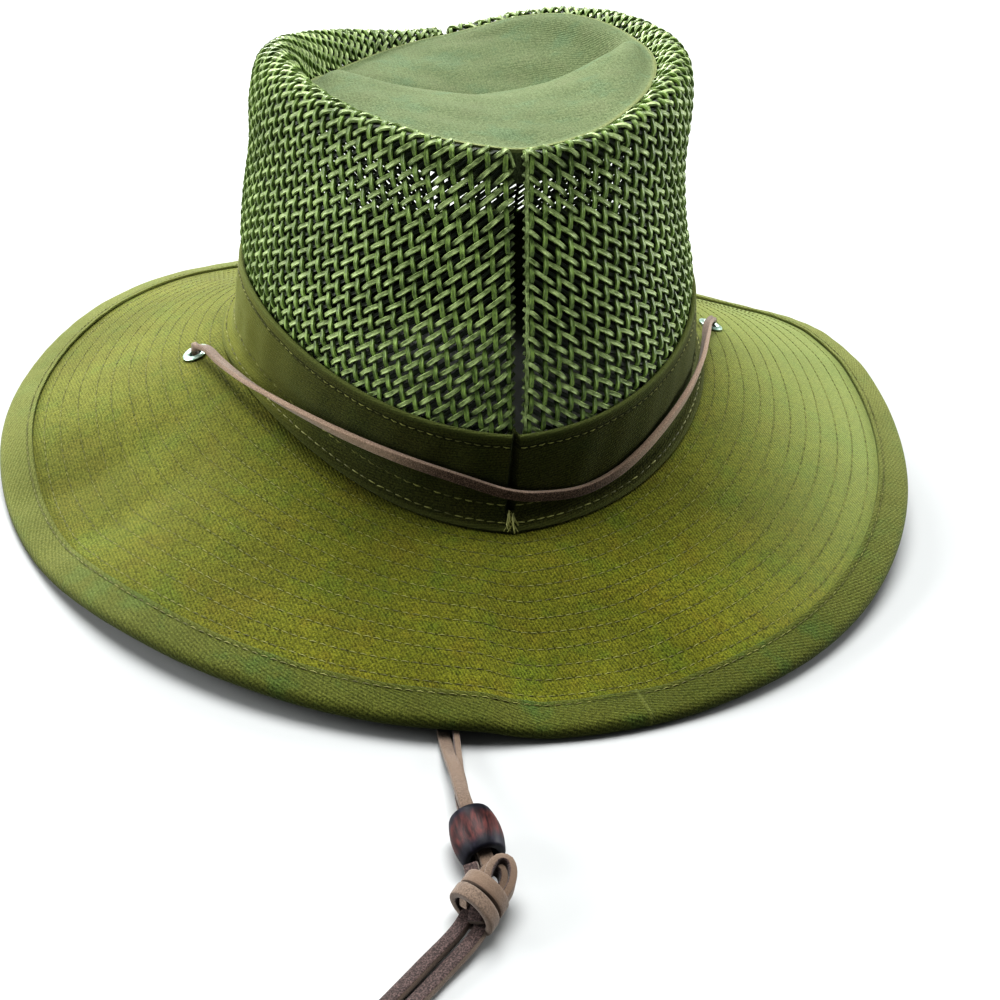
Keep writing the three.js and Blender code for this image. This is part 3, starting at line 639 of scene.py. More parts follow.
# Azimuth, distance out from the band's foot, height, lean of the width from upright
CORD_ROUND = (
    (-80, 11.2, 35.6, 88), (-73.5, 8.5, 35.6, 84), (-63, 6.4, 36.2, 58), (-56, 5.0, 36.2, 46),
    (-48, 4.4, 36.4, 36), (-35, 4.2, 36.1, 16), (-23, 3.2, 34.2, 6), (-10, 1.9, 30.5, 0),
    (0, 1.6, 26.6, 0), (8, 1.5, 24.7, 0), (16, 1.45, 24.3, 0), (24, 1.45, 26.8, 0),
    (31, 1.45, 30.8, 0), (40, 1.45, 36.4, 0), (50, 1.6, 40.6, 4), (61, 2.2, 42.6, 10),
    (74, 4.6, 42.6, 30), (82, 8.0, 42.0, 60),
)


def cord_round():
    stations = []
    for azimuth, out, z, lean in CORD_ROUND:
        at = offset_ring("crease", azimuth, out)
        at[2] = z
        square = ring_outward("crease", azimuth)
        lean = math.radians(lean)
        stations.append((at, np.array((0, 0, math.cos(lean))) + square * math.sin(lean)))
    return stations


RUN_MIDDLE_X = 4
# Under the brim each strand turns over once, so that its nap faces out where it goes round
left_route = strand_out(-1) + [
    ((-37, -148, FLOOR_LACE_Z), (0.95, 0.3, 0)),
    ((-50, -124, EDGEWISE_Z), UPRIGHT),
    ((-63, -100, FLOOR_LACE_Z), (-0.9, -0.45, 0)),
    ((-84, -56, FLOOR_LACE_Z), (-0.9, -0.4, 0)),
    ((-95, -28, FLOOR_LACE_Z + 1.4), (-0.8, -0.6, 0)),
] + [(at, (0, -1, 0)) for at, _ in up_through(SEAT_LEFT, (-98.2, -13, 12))]
right_route = strand_out(1) + [
    ((-6, -150, FLOOR_LACE_Z), (0.8, -0.6, 0)),
    ((16, -137, EDGEWISE_Z), UPRIGHT),
    ((38, -122, FLOOR_LACE_Z), (-0.6, 0.8, 0)),
    ((78, -80, FLOOR_LACE_Z), (-0.75, 0.6, 0)),
    ((97, -34, FLOOR_LACE_Z + 1.2), (-0.9, 0.3, 0)),
] + up_through(SEAT_RIGHT, (98.6, -6, 12))
round_part = [(at, -wide) for at, wide in cord_round()]
rings, cord_path, straight = lace_rings(left_route + round_part + right_route[::-1])
chin_cord = bundle("suede_chin_cord", [rings], [straight])
face_out(chin_cord)
behind = (cord_path[:, 1] < -60) & (cord_path[:, 2] > 15)
nearest = np.argmin(np.abs(cord_path[behind, 0] - RUN_MIDDLE_X))
SUEDE = suede(float(run_along(cord_path)[behind][nearest]))
chin_cord.data.materials.append(SUEDE)
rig.ride(chin_cord, "root")
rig.replaces(chin_cord, "chin_cord")
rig.slot(chin_cord, "suede")


def path_of(centres):
    return [tuple((p + FRAME_SHIFT) * MM) for p in centres]


def length_of(centres):
    return float(np.linalg.norm(np.diff(centres, axis=0), axis=1).sum()) * MM


# Cord tails
# The lace's two ends come out of the knot side by side and lie on the floor, a little tilted.
# Each is cut off square just past the part of it that shows.
TAIL_ROOT = 2.6
TAIL_ROOT_Z = 3.6
TAIL_ACROSS = np.array((0.74, -0.66, 0.1))
TAIL_LANE = 2.0
TAIL_BEND = np.array((-31.1, -230.6, 2.6))
TAIL_END = np.array((-48.9, -246.4, 1.5))
TAIL_LOW_Z = 1.6
TAIL_TILT = (0.72, -0.64, 0.28)
TAIL_STEP = 1.0


def tail(side):
    start = KNOT_CENTRE + KNOT_AXIS * TAIL_ROOT + TAIL_ACROSS * side * TAIL_LANE
    start[2] = TAIL_ROOT_Z
    out, end = [place + TAIL_ACROSS * side * TAIL_LANE for place in (TAIL_BEND, TAIL_END)]
    late = between(out, end, 0.5)
    late[2] = TAIL_LOW_Z
    stations = [(start, TAIL_ACROSS)] + [(place, TAIL_TILT) for place in (out, late, end)]
    return lace_rings(stations, TAIL_STEP)


tails = {}
for word, side in (("left", -1), ("right", 1)):
    rings, centres, straight = tail(side)
    piece = bundle(f"suede_tail_{word}", [rings], [straight + (0, 40 * side, 0)])
    face_out(piece)
    piece.data.materials.append(SUEDE)
    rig.ride(piece, "root")
    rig.replaces(piece, f"cord_tail_{word}")
    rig.slot(piece, "suede")
    tails[word] = (piece, centres)

# Knot
# An overhand knot of the doubled lace: two wraps lie side by side round the strands, and the
# pulled bight stands out as a loop at the right.
WRAP_RADIUS = 4.35
WRAP_WIDE = 1.08
WRAP_HIGH = 0.93
WRAP_STEP = 0.9
# Place along the knot's axis, lean of the wrap, swell of its radius
WRAPS = ((2.0, 0.14, 1.0), (-1.8, 0.10, 0.95))
KNOT_SIDE = np.cross(KNOT_AXIS, UPRIGHT)
# Points about the knot's middle, the width's direction and the step: the loop's outer and inner
# strand, the two strands from the bead, and the stretch that joins them to the tails
LOOP_WIDTH = (0.1, 0.1, 1.0)
CORE_WIDTH = (0.9, -0.3, 0.3)
KNOT_STRANDS = (
    (((-1.4, -1.8, 1.2), (1.2, 1.2, 2.2), (2.8, 4.8, 3.0), (5.0, 6.8, 3.2), (6.9, 6.4, 2.9),
      (7.5, 4.4, 2.4), (6.8, 1.6, 1.4), (4.2, -1.4, 0.4), (1.2, -3.0, 0.2)), LOOP_WIDTH, 0.8),
    (((-1.9, -0.6, 0.4), (0.2, 2.2, 1.0), (1.6, 5.0, 1.6), (3.6, 6.2, 1.9), (5.1, 5.6, 1.7),
      (5.6, 4.0, 1.2), (5.0, 1.9, 0.4), (2.6, -1.0, -0.6)), LOOP_WIDTH, 0.8),
    (((-0.6, 8.0, 1.2), (-0.4, 4.0, 1.0), (-0.2, 0.0, 0.4), (-1.4, -4.4, -1.0)), CORE_WIDTH, 1.2),
    (((1.4, 8.0, -0.6), (1.0, 4.0, -0.8), (1.2, 0.0, -1.4), (0.2, -4.4, -1.8)), CORE_WIDTH, 1.2),
    ([KNOT_AXIS * along - KNOT_SIDE * 2.3 + (0, 0, 0.5) for along in (3.2, 0.6, -1.0, -2.7)],
     UPRIGHT, 1.2),
)


def wrap_rings(along, lean, swell):
    side = unit(KNOT_SIDE)
    up = np.cross(side, KNOT_AXIS)
    turn = np.radians(np.arange(-200, 196, 12))
    radius = WRAP_RADIUS * swell * (1 + 0.012 * np.cos(2 * turn))
    slip = lean * WRAP_RADIUS * np.sin(turn) + along + np.linspace(-0.35, 0.35, len(turn))
    rise_in = np.linspace(0.0, 0.5, len(turn))
    points = KNOT_CENTRE + side * ((radius * WRAP_WIDE + rise_in) * np.sin(turn))[:, None]
    points = points + up * ((radius * WRAP_HIGH + rise_in) * np.cos(turn))[:, None]
    points = points - KNOT_AXIS * slip[:, None]
    around_axis = side * np.cos(turn)[:, None] - up * np.sin(turn)[:, None]
    wide = np.cross(around_axis, side * np.sin(turn)[:, None] + up * np.cos(turn)[:, None])
    return lace_rings(list(zip(points, wide)), WRAP_STEP)


knot_parts = [wrap_rings(*row) for row in WRAPS]
for points, width, step in KNOT_STRANDS:
    knot_parts.append(lace_rings([(KNOT_CENTRE + p, width) for p in points], step))
knot = bundle("suede_knot", [part[0] for part in knot_parts],
              [part[2] + (0, 90 + 30 * i, 0) for i, part in enumerate(knot_parts)])
face_out(knot)
knot.data.materials.append(SUEDE)
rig.ride(knot, "root")
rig.replaces(knot, "cord_knot")
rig.slot(knot, "suede")

# Bead
# A turned barrel of stained and polished wood, drilled through: red-brown in the middle, nearly
# black at its ends.
BEAD_SIDES = 48
BEAD_STAIN = rgba(0.016, 0.006, 0.007), rgba(0.120, 0.034, 0.030)
BEAD_ENDS = rgba(0.005, 0.005, 0.010), rgba(0.022, 0.020, 0.034)
# How far from the bead's middle, along it, its ends begin to darken and are darkest
BEAD_ENDS_FROM = (3.2, 5.8)
# Distance along the bead and radius, from one end of the bore over the barrel to the other
BEAD_PROFILE = (
    (-4.9, 3.05), (-5.35, 3.12), (-5.6, 3.45), (-5.65, 4.3), (-5.5, 4.66), (-5.1, 4.9),
    (-4.0, 5.2), (-2.7, 5.48), (-1.35, 5.66), (0.0, 5.72), (1.35, 5.66), (2.7, 5.48),
    (4.0, 5.2), (5.1, 4.9), (5.5, 4.66), (5.65, 4.3), (5.6, 3.45), (5.35, 3.12), (4.9, 3.05),
)


def dark_wood():
    material, wire, shader = finish_for("dark_wood")
    place = place_of(wire)
    centre = tuple(-(BEAD_CENTRE + FRAME_SHIFT))
    local = place.node("ShaderNodeVectorMath", {"operation": "ADD"}, {0: place, 1: centre})
    x, y, z = local.parts()
    streaks = local.noise(0.9, 4.0, 0.6, (1.0, 0.16, 1.0))
    clouds = local.noise(0.22, 2.0, 0.5)
    along = y * BEAD_AXIS[1] + x * BEAD_AXIS[0] + z * BEAD_AXIS[2]
    ends = abs(along) + clouds * 3.0
    wood = streaks.clamped(0.34, 0.72).mixed(*BEAD_STAIN)
    burnt = streaks.clamped(0.4, 0.8).mixed(*BEAD_ENDS)
    join_to(shader, ends.clamped(*BEAD_ENDS_FROM).mixed(wood, burnt), "Base Color")
    join_to(shader, streaks.clamped(0.2, 0.9) * 0.2 + 0.42, "Roughness")
    join_to(shader, streaks.raised(0.5, 0.14), "Normal")
    shader.inputs["Specular IOR Level"].default_value = 0.3
    return material


first_along, first_radius = BEAD_PROFILE[0]
bpy.ops.mesh.primitive_circle_add(
    vertices=BEAD_SIDES, radius=first_radius * MM, rotation=(math.pi / 2, 0, 0),
    location=(0, first_along * MM, 0))
bead = bpy.context.object
bead.name = "turned_bead"
bpy.ops.object.transform_apply(location=True, rotation=True, scale=True)
bpy.ops.object.mode_set(mode="EDIT")
for (along, radius), (next_along, next_radius) in zip(BEAD_PROFILE, BEAD_PROFILE[1:]):
    bpy.ops.mesh.extrude_region_move(
        TRANSFORM_OT_translate={"value": (0, (next_along - along) * MM, 0)})
    ratio = next_radius / radius
    bpy.ops.transform.resize(
        value=(ratio, 1, ratio), center_override=(0, next_along * MM, 0))
bpy.ops.mesh.select_all(action="SELECT")
bpy.ops.mesh.edge_face_add()
bpy.ops.mesh.select_all(action="DESELECT")
bpy.ops.object.mode_set(mode="OBJECT")
bore = [e.index for e in bead.data.edges
        if all(abs(abs(bead.data.vertices[i].co.y) - BEAD_PROFILE[-1][0] * MM) < 1e-6
               and math.hypot(*bead.data.vertices[i].co.xz) < (first_radius + 0.01) * MM
               for i in e.vertices)]
for index in bore:
    bead.data.edges[index].select = True
bpy.ops.object.mode_set(mode="EDIT")
bpy.ops.mesh.select_mode(type="EDGE")
bpy.ops.mesh.bridge_edge_loops()
bpy.ops.object.mode_set(mode="OBJECT")
bead.location = (BEAD_CENTRE + FRAME_SHIFT) * MM
bead.rotation_euler = (BEAD_PITCH, 0, BEAD_YAW)
bpy.ops.object.transform_apply(location=True, rotation=True, scale=True)
face_out(bead, 50)
bead.data.materials.append(dark_wood())
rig.ride(bead, "root")
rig.replaces(bead, "bead")
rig.slot(bead, "dark_wood")

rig.cord(chin_cord, exit=path_of(cord_path)[0], length=length_of(cord_path),
        diameter=LACE_WIDTH * MM, far_end="knot", stiffness="limp", lay="loose",
        path=path_of(cord_path), with_pieces=[bead, knot])
for piece, centres in tails.values():
    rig.cord(piece, exit=path_of(centres)[0], length=length_of(centres),
            diameter=LACE_WIDTH * MM, far_end="bare", stiffness="limp", lay="loose",
            path=path_of(centres))

# Crown mesh
# The open wall of the crown, woven from two-ply paper yarn in two halves that meet at the back and
# the front seam. Each weft goes over one warp and under two, and climbs towards the back seam.
# The foot is tucked behind the band, and the top is rolled over the rim to the tip's edge.
WEAVE_WALL = 1.4
BAND_WALL = 1.6
BAND_GAP = 0.3
WEAVE_TUCK = 8
# Grid of the wall: the first row's height above the band's fold, the step between its rows, and
# how many points each stretch between two rings is first measured by
WALL_FOOT = -7.0
WALL_STEP = 0.75
WALL_FINE = 16
WARP_PITCH = {"left": 3.8, "right": 4.05}
WARP_LEAN = {"left": 0.13, "right": 0.0}
LEAN_FROM = 35
LEAN_FADE = 14
WEFT_PITCH = 2.45
WEFT_CLIMB = {"left": 0.87, "right": 0.75}
# Height at each of the three crossings of the pattern, from -1 under to 1 over
WARP_LIFT = np.array((-1.0, 1.0, 0.35))
WEFT_LIFT = np.array((1.0, -1.0, -0.3))
YARN_WIDE = 1.52
YARN_DEEP = 1.06
YARN_SWING = 0.60
YARN_WANDER = 0.11
YARN_WANDER_DEEP = 0.05
WEFT_WIDE = YARN_WIDE * 0.97
SELVEDGE_WIDE = 1.15
YARN_START = -6.5
YARN_PAST_TOP = 1.6
WEAVE_SEED = {"left": 11, "right": 7}
# How far each half starts from the back seam, and how deep that edge is turned in
BACK_EDGE = {"left": (0.3, 4.6), "right": (2.0, 1.3)}
FRONT_EDGE = (0.5, 2.0)
SEAM_TURN = 3.0

# Rolled rim by azimuth: height of its top, roll radius, reach inwards and drop to the tip seam
CROWN_RIM = np.array((
    (0, 117.6, 2.6, 2.0, 1.0), (20, 121.0, 3.5, 3.0, 1.3), (40, 127.2, 5.0, 4.5, 2.0),
    (60, 132.2, 6.5, 5.5, 3.2), (90, 136.8, 7.0, 6.0, 4.5), (115, 137.2, 6.0, 5.5, 3.5),
    (136, 135.5, 5.0, 4.5, 2.0), (155, 131.3, 4.5, 4.0, 1.6), (170, 125.8, 4.0, 4.0, 1.6),
    (182, 122.8, 4.0, 4.5, 2.2), (196, 121.7, 5.0, 6.5, 4.0), (210, 122.8, 7.0, 9.0, 7.0),
    (225, 124.2, 8.5, 10.0, 10.0), (240, 125.2, 9.0, 10.0, 12.0), (255, 126.8, 9.5, 9.0, 12.5),
    (270, 127.4, 9.5, 8.5, 11.0), (285, 126.0, 9.0, 8.0, 8.0), (301, 124.0, 7.5, 7.0, 4.5),
    (315, 122.2, 6.0, 5.5, 3.0), (330, 120.2, 4.5, 4.2, 2.0), (345, 118.4, 3.2, 3.0, 1.2)))


def rim_points(degrees, tucked=0.0):
    """Outer shoulder, top, inner shoulder and tip seam of the rolled rim, and a tuck below it"""
    top, roll, inset, drop = [around(CROWN_RIM, k, degrees) for k in (1, 2, 3, 4)]
    pins = [(roll * 0.36, top - roll * 0.36), (roll, top),
            (roll + inset * 0.62, top - drop * 0.34), (roll + inset, top - drop)]
    if tucked:
        pins.append((roll + inset + tucked, top - drop - 0.4 * tucked))
    points = []
    for reach, z in pins:
        point = offset_ring("shoulder", degrees, -reach)
        point[..., 2] = z
        points.append(point)
    return points


def weave_pins(degrees):
    tuck = -(BAND_WALL + BAND_GAP)
    band = offset_ring("top", degrees, tuck)
    mid = offset_ring("mid", degrees, tuck)
    foot = band + (mid - band) * (WEAVE_TUCK / (band - mid)[..., 2:])
    waist = ring_point("waist", degrees)
    above = between(band, waist, 0.3)
    above = above + ring_outward("top", degrees) * 0.9
    crown = [ring_point(name, degrees) for name in ("waist", "neck", "shoulder")]
    return np.stack([foot, band, above, *crown, *rim_points(degrees, 4.0)], axis=-2)


class CrownHalf:
    """The wall of one half, as places by the distance from the back seam and up from the band"""

    def __init__(self, side, word):
        self.side = side
        self.start, self.depth = BACK_EDGE[word]
        turn = side * np.linspace(0.3, 179.7, 361)
        self.from_seam = run_along(ring_point("waist", turn))
        self.round = self.from_seam[-1]
        self.end = self.round - FRONT_EDGE[0]
        pins = weave_pins(turn)
        last = pins.shape[1] - 1
        fine = through(pins, np.linspace(0, last, WALL_FINE * last + 1))
        up = run_along(fine)
        up -= up[:, WALL_FINE:WALL_FINE + 1]
        self.top = up[:, WALL_FINE * (last - 1)]
        self.rows = np.arange(WALL_FOOT, up.max() + 1, WALL_STEP)
        points = np.array([points_at(self.rows, run, line) for run, line in zip(up, fine)])
        ahead_of = np.gradient(points, axis=0)
        upward = np.gradient(points, axis=1)
        normal = unit(np.cross(ahead_of, upward)) * side
        soft = normal.copy()
        for _ in range(3):
            soft[1:-1] = (soft[:-2] + soft[1:-1] + soft[2:]) / 3
        self.points, self.normals = points - 0.5 * WEAVE_WALL * unit(soft), unit(soft)

    def height(self, across):
        return np.interp(across, self.from_seam, self.top)

    def lookup(self, grid, across, up):
        """Value of a grid over the wall, between its four nearest points"""
        column = np.interp(across, self.from_seam, np.arange(len(self.from_seam)))
        row = np.clip((up - self.rows[0]) / WALL_STEP, 0, len(self.rows) - 1.001)
        c = np.minimum(column.astype(int), len(self.from_seam) - 2)
        r = row.astype(int)
        fc, fr = (column - c)[..., None], (row - r)[..., None]
        low = grid[c, r] * (1 - fc) + grid[c + 1, r] * fc
        high = grid[c, r + 1] * (1 - fc) + grid[c + 1, r + 1] * fc
        return low * (1 - fr) + high * fr

    def place(self, across, up, lift):
        """Point on the wall, turned inwards next to both seams"""
        from_back = np.clip(1 - (across - self.start) / SEAM_TURN, 0, 1) ** 2
        from_front = np.clip(1 - (self.end - across) / SEAM_TURN, 0, 1) ** 2
        turned = self.depth * from_back + FRONT_EDGE[1] * from_front
        normal = self.lookup(self.normals, across, up)
        return self.lookup(self.points, across, up) + normal * (lift - turned)[..., None], normal


# The yarn's section, two plies side by side: share of half the width, of half the depth
PLY_SECTION = np.array(((1.0, 0.0), (0.72, 0.9), (0.0, 0.62), (-0.72, 0.9), (-1.0, 0.0),
                        (-0.72, -0.9), (0.0, -0.62), (0.72, -0.9)))


def eased(share):
    return share * share * (3 - 2 * share)


def crossing_lift(on_top, share):
    """Height of a yarn between crossings, from 1 over the other yarns to -1 under them. Where it
    stays over or under two yarns it bows out a little."""
    lift = between(on_top[:-1, None], on_top[1:, None], eased(share))
    same = (on_top[:-1] * on_top[1:] > 0)[:, None] * on_top[:-1, None]
    return lift + 0.25 * same * np.sin(np.pi * share)


def yarn(half, across, up, on_top, rng, wide):
    """One yarn through its crossings: its tube of points, place along it and tone"""
    count = len(across)
    share = np.arange(3) / 3
    wander = rng.normal(0, YARN_WANDER, count), rng.normal(0, YARN_WANDER_DEEP, count)
    lift = crossing_lift(on_top, share[None]).ravel()
    at = (np.arange(count - 1)[:, None] + share).ravel()
    pins = np.arange(count)
    side_step = np.interp(at, pins, wander[0])
    along_across = np.interp(at, pins, across)
    along_up = np.interp(at, pins, up)
    step = unit(np.stack((np.gradient(along_across), np.gradient(along_up)), axis=-1))
    a = along_across + side_step * step[:, 1]
    s = along_up - side_step * step[:, 0]
    lift_mm = lift * YARN_SWING + np.interp(at, pins, wander[1])
    a = np.clip(a, half.start, half.end)
    centre, normal = half.place(a, s, lift_mm)
    ahead_of = unit(np.gradient(centre, axis=0))
    sideways = unit(np.cross(ahead_of, normal))
    upright = np.cross(sideways, ahead_of)
    narrow = wide * np.where(lift > 0, 1.0, 0.86) * (1 + 0.05 * np.sin(at * 1.7 + across[0]))
    u = PLY_SECTION[None, :, 0] * narrow[:, None] / 2
    v = PLY_SECTION[None, :, 1] * YARN_DEEP / 2
    tube = centre[:, None] + sideways[:, None] * u[..., None] + upright[:, None] * v[..., None]
    lie = stack(u, run_along(centre)[:, None] + 31 * rng.random(), v)
    seen = np.clip((lift + 0.9) / 1.6, 0, 1) * (0.65 + 0.35 * rng.random())
    return tube, lie, np.tile(seen[:, None], (1, tube.shape[1]))


class Loom:
    """Where the yarns of one half cross. Each yarn comes as its tube of points, its run and its
    tone."""

    def __init__(self, half, word):
        self.half, self.word = half, word
        self.rng = np.random.default_rng(WEAVE_SEED[word])
        width = half.end - half.start
        self.count = int(width / WARP_PITCH[word])
        self.warps = half.start + (np.arange(self.count) + 0.5) * (width / self.count)
        self.climb = WEFT_CLIMB[word]
        to_seam = np.minimum(self.warps, half.round - self.warps)
        self.lean = WARP_LEAN[word] * np.clip(to_seam / LEAN_FADE, 0, 1)
        self.tops = half.height(self.warps) + YARN_PAST_TOP

    def crossings(self, i, j):
        """Height up the wall where weft j crosses warp i"""
        fall = self.climb * (self.warps[i] - self.lean[i] * LEAN_FROM)
        return (WEFT_PITCH * j - fall) / (1 + self.climb * self.lean[i])

    def yarn(self, across, up, on_top, wide):
        return yarn(self.half, across, up, on_top, self.rng, wide)

    def warp(self, i):
        j = np.arange(-6, int(4 * self.half.round / WEFT_PITCH))
        up = self.crossings(i, j)
        inside = (up > YARN_START) & (up < self.tops[i])
        on_top = np.r_[0.0, WARP_LIFT[(j[inside] + i) % 3], 0.0]
        up = np.r_[YARN_START - 0.4, up[inside], self.tops[i]]
        across = self.warps[i] + self.lean[i] * (up - LEAN_FROM)
        return self.yarn(across, up, on_top, YARN_WIDE)

    def weft(self, j):
        """The stretches of one weft that lie on the wall. An end at a seam runs on to it."""
        half, climb = self.half, self.climb
        up = self.crossings(np.arange(self.count), j)
        inside = np.flatnonzero((up > YARN_START) & (up < self.tops))
        stretches = []
        for part in np.split(inside, np.flatnonzero(np.diff(inside) > 1) + 1):
            if len(part) < 3:
                continue
            on_top, at = WEFT_LIFT[(j + part) % 3], up[part]
            across = self.warps[part] + self.lean[part] * (at - LEAN_FROM)
            if part[0] == 0:
                across = np.r_[half.start, across]
                at = np.r_[at[0] + climb * (across[1] - half.start), at]
                on_top = np.r_[0.0, on_top]
            if part[-1] == self.count - 1:
                across = np.r_[across, half.end]
                at = np.r_[at, at[-1] - climb * (across[-1] - across[-2])]
                on_top = np.r_[on_top, 0.0]
            stretches.append(self.yarn(across, at, on_top, WEFT_WIDE))
        return stretches

    def selvedge(self):
        """One more yarn, up the edge that shows at the back seam"""
        up = np.arange(YARN_START, self.half.height(self.half.start) + 1, 1.6)
        across = self.half.start + 0.7 + 0.12 * np.sin(up * 0.9)
        return self.yarn(across, up, np.full(len(up), 1.1), SELVEDGE_WIDE)

    def weave(self):
        made = {"warps": [self.warp(i) for i in range(self.count)], "wefts": []}
        lowest = math.ceil(YARN_START / WEFT_PITCH)
        reach = self.tops.max() + 1.3 * self.climb * self.half.round
        for j in range(lowest, math.floor(reach / WEFT_PITCH) + 1):
            made["wefts"] += self.weft(j)
        if self.word == "right":
            made["wefts"].append(self.selvedge())
        return made


def paper_yarn(name, shade, lit):
    """Twisted paper yarn: fine streaks along both plies, and darker where it dips under"""
    material, wire, shader = finish_for(name)
    lie = lie_of(wire)
    tone = mark_of(wire, "tone")
    streaks = lie.noise(1.9, 4.0, 0.7, (1.0, 0.25, 1.0))
    blotch = place_of(wire).noise(0.05, 3.0, 0.6)
    flecks = lie.noise(0.75, 2.0, 0.6, (1.0, 0.6, 1.0))
    mix = (streaks * 0.7 + flecks * 0.7 + blotch * 0.3).clamped(0.62, 1.1)
    colour = tone.clamped(0.06, 0.62).mixed(YARN_SHADOW, mix.mixed(shade, lit))
    join_to(shader, colour, "Base Color")
    join_to(shader, streaks.clamped(0.2, 0.9) * 0.2 + 0.38, "Roughness")
    join_to(shader, streaks.raised(0.8, 0.3), "Normal")
    shader.inputs["Specular IOR Level"].default_value = 0.5
    return material


YARN_SHADOW = rgba(0.008, 0.018, 0.004)
PAPER_YARN = {
    "warps": paper_yarn("paper_yarn_warp", rgba(0.058, 0.100, 0.020), rgba(0.30, 0.43, 0.12)),
    "wefts": paper_yarn("paper_yarn_weft", rgba(0.100, 0.150, 0.038), rgba(0.54, 0.67, 0.31)),
}
HALVES = {"left": CrownHalf(-1, "left"), "right": CrownHalf(1, "right")}
for word, half in HALVES.items():
    woven = {}
    for kind, yarns in Loom(half, word).weave().items():
        piece = bundle(f"mesh_{kind}_{word}", *[[y[k] for y in yarns] for k in range(3)])
        face_out(piece, 60)
        piece.data.materials.append(PAPER_YARN[kind])
        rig.ride(piece, "root")
        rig.replaces(piece, f"crown_mesh_{word}")
        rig.slot(piece, "weave")
        woven[kind] = piece
    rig.sheet(woven["wefts"], flat=(0.091, 0.260), held="stretched", rests_on=["crown_band"],
             with_pieces=[woven["warps"]])

# Crown band
# A folded strip of the brim's cotton twill round the foot of the mesh, stitched along its top
# fold. Its foot flares out over the brim, where two rows of thick thread hold it down, and its
# ends meet in a slit at the back.
BAND_COLUMNS = 480
BAND_ROWS = 44
BAND_SEAM_PULL = 46.0
# The rows of stitches, by their distance down from the fold and up from the flare's edge, and
# how deep they pull the cloth in
TOP_STITCHES = 3.2
TOP_DENT = 0.22
LOW_STITCHES = 2.0
HIGH_STITCHES = 7.4
FLARE_DENT = 0.18
SLIT_HALF = 1.25
SLIT_DEPTH = 3.4
SLIT_FOOT = 33
FOLD_HEIGHT = 0.75
COLLAR_DROP = 3
UNDER_DROP = 1.45
# Distance down the strip of the fold's rows and of those under the flare and inside the crown
FOLD_RUN = (-2.2, -1.8, -1.3, -0.8, -0.4)
INSIDE_RUN = np.array((0.5, 1, 6, 9, 10, 20, 30))
BAND_RUN_ROW = 20


def band_columns(count, seam_pull):
    """Azimuths all round, closer together at the back seam"""
    t = np.arange(count) / count * 360
    return t - seam_pull * np.sin(np.radians(t)) * (1 + np.cos(np.radians(t))) / 2


def swept(name, grid, lie, marks):
    """A closed skin from sections that go right round, each a closed loop of points. marks are
    the numbers that its points keep."""
    rows, columns = grid.shape[:2]
    index = np.arange(rows * columns).reshape(rows, columns)
    ahead_row, ahead_column = np.roll(index, -1, axis=0), np.roll(index, -1, axis=1)
    both = np.roll(ahead_row, -1, axis=1)
    quads = np.stack((index, ahead_row, both, ahead_column), axis=-1).reshape(-1, 4)
    mesh = bpy.data.meshes.new(name)
    mesh.from_pydata((grid.reshape(-1, 3) + FRAME_SHIFT) * MM, [], quads.tolist())
    corners = lie.reshape(-1, 3)[quads]
    corners[-columns:, 1:3, 0] = 2 * lie[-1, 0, 0] - lie[-2, 0, 0]
    attribute = mesh.attributes.new("run", "FLOAT_VECTOR", "CORNER")
    attribute.data.foreach_set("vector", corners.astype(float).ravel())
    for key, values in marks.items():
        attribute = mesh.attributes.new(key, "FLOAT", "POINT")
        attribute.data.foreach_set("value", values.astype(float).ravel())
    piece = bpy.data.objects.new(name, mesh)
    bpy.context.collection.objects.link(piece)
    return piece


def band_wall(degrees):
    """Outer face of the band by pins: top fold, wall, crease, and the flare's edge"""
    top = offset_ring("top", degrees, 0.0, -0.6)
    mid = ring_point("mid", degrees)
    crease = ring_point("crease", degrees)
    edge = ring_point("edge", degrees)
    low = between(mid, crease, 0.62)
    knee = between(crease, edge, 0.22)
    knee[..., 2] = between(crease, edge, 0.3)[..., 2]
    return np.stack([top, between(top, mid, 0.5), mid, low, knee, between(crease, edge, 0.6),
                     edge], axis=-2)


def wrinkles(degrees, down):
    """Small upright wrinkles of the band"""
    waves = 0.16 * np.sin(np.radians(degrees) * 23 + 2.1 * np.sin(np.radians(degrees) * 5))
    waves = waves + 0.12 * np.sin(np.radians(degrees) * 41 + down * 0.18)
    return waves * np.clip(down / 6, 0, 1) * np.clip((30 - down) / 14, 0.15, 1)


def band_face(degrees, down_share):
    """Points of the band's outer face, and the directions square to it"""
    pins = band_wall(degrees)
    face = through(pins, np.asarray(down_share) * (pins.shape[-2] - 1))
    ahead_of = np.gradient(face, axis=0)
    down = np.gradient(face, axis=1)
    return face, unit(np.cross(down, ahead_of))


band_at = band_columns(BAND_COLUMNS, BAND_SEAM_PULL)
face, square = band_face(band_at, np.linspace(0, 1, BAND_ROWS))
down_mm = run_along(face)
off_seam = np.abs((band_at + 180) % 360 - 180)[:, None] * math.pi / 180 * 90
face = face + square * wrinkles(band_at[:, None], down_mm)[..., None]
face = face - square * (TOP_DENT * np.exp(-((down_mm - TOP_STITCHES) / 0.55) ** 2))[..., None]
flare_from = down_mm[:, -1:]
for back in (LOW_STITCHES, HIGH_STITCHES):
    near = np.exp(-((flare_from - back - down_mm) / 0.6) ** 2)
    face = face - square * (FLARE_DENT * near)[..., None]
slit = SLIT_DEPTH * np.exp(-(off_seam / SLIT_HALF) ** 4) * np.clip((SLIT_FOOT - down_mm) / 8, 0, 1)
face = face - square * slit[..., None]
out_top = ring_outward("top", band_at)
fold = []
for turn in np.radians((18, 50, 90, 130, 165)):
    step = -out_top * (BAND_WALL / 2) * (1 - math.cos(turn))
    point = face[:, 0] + step
    point[:, 2] += FOLD_HEIGHT * math.sin(turn)
    fold.append(point)
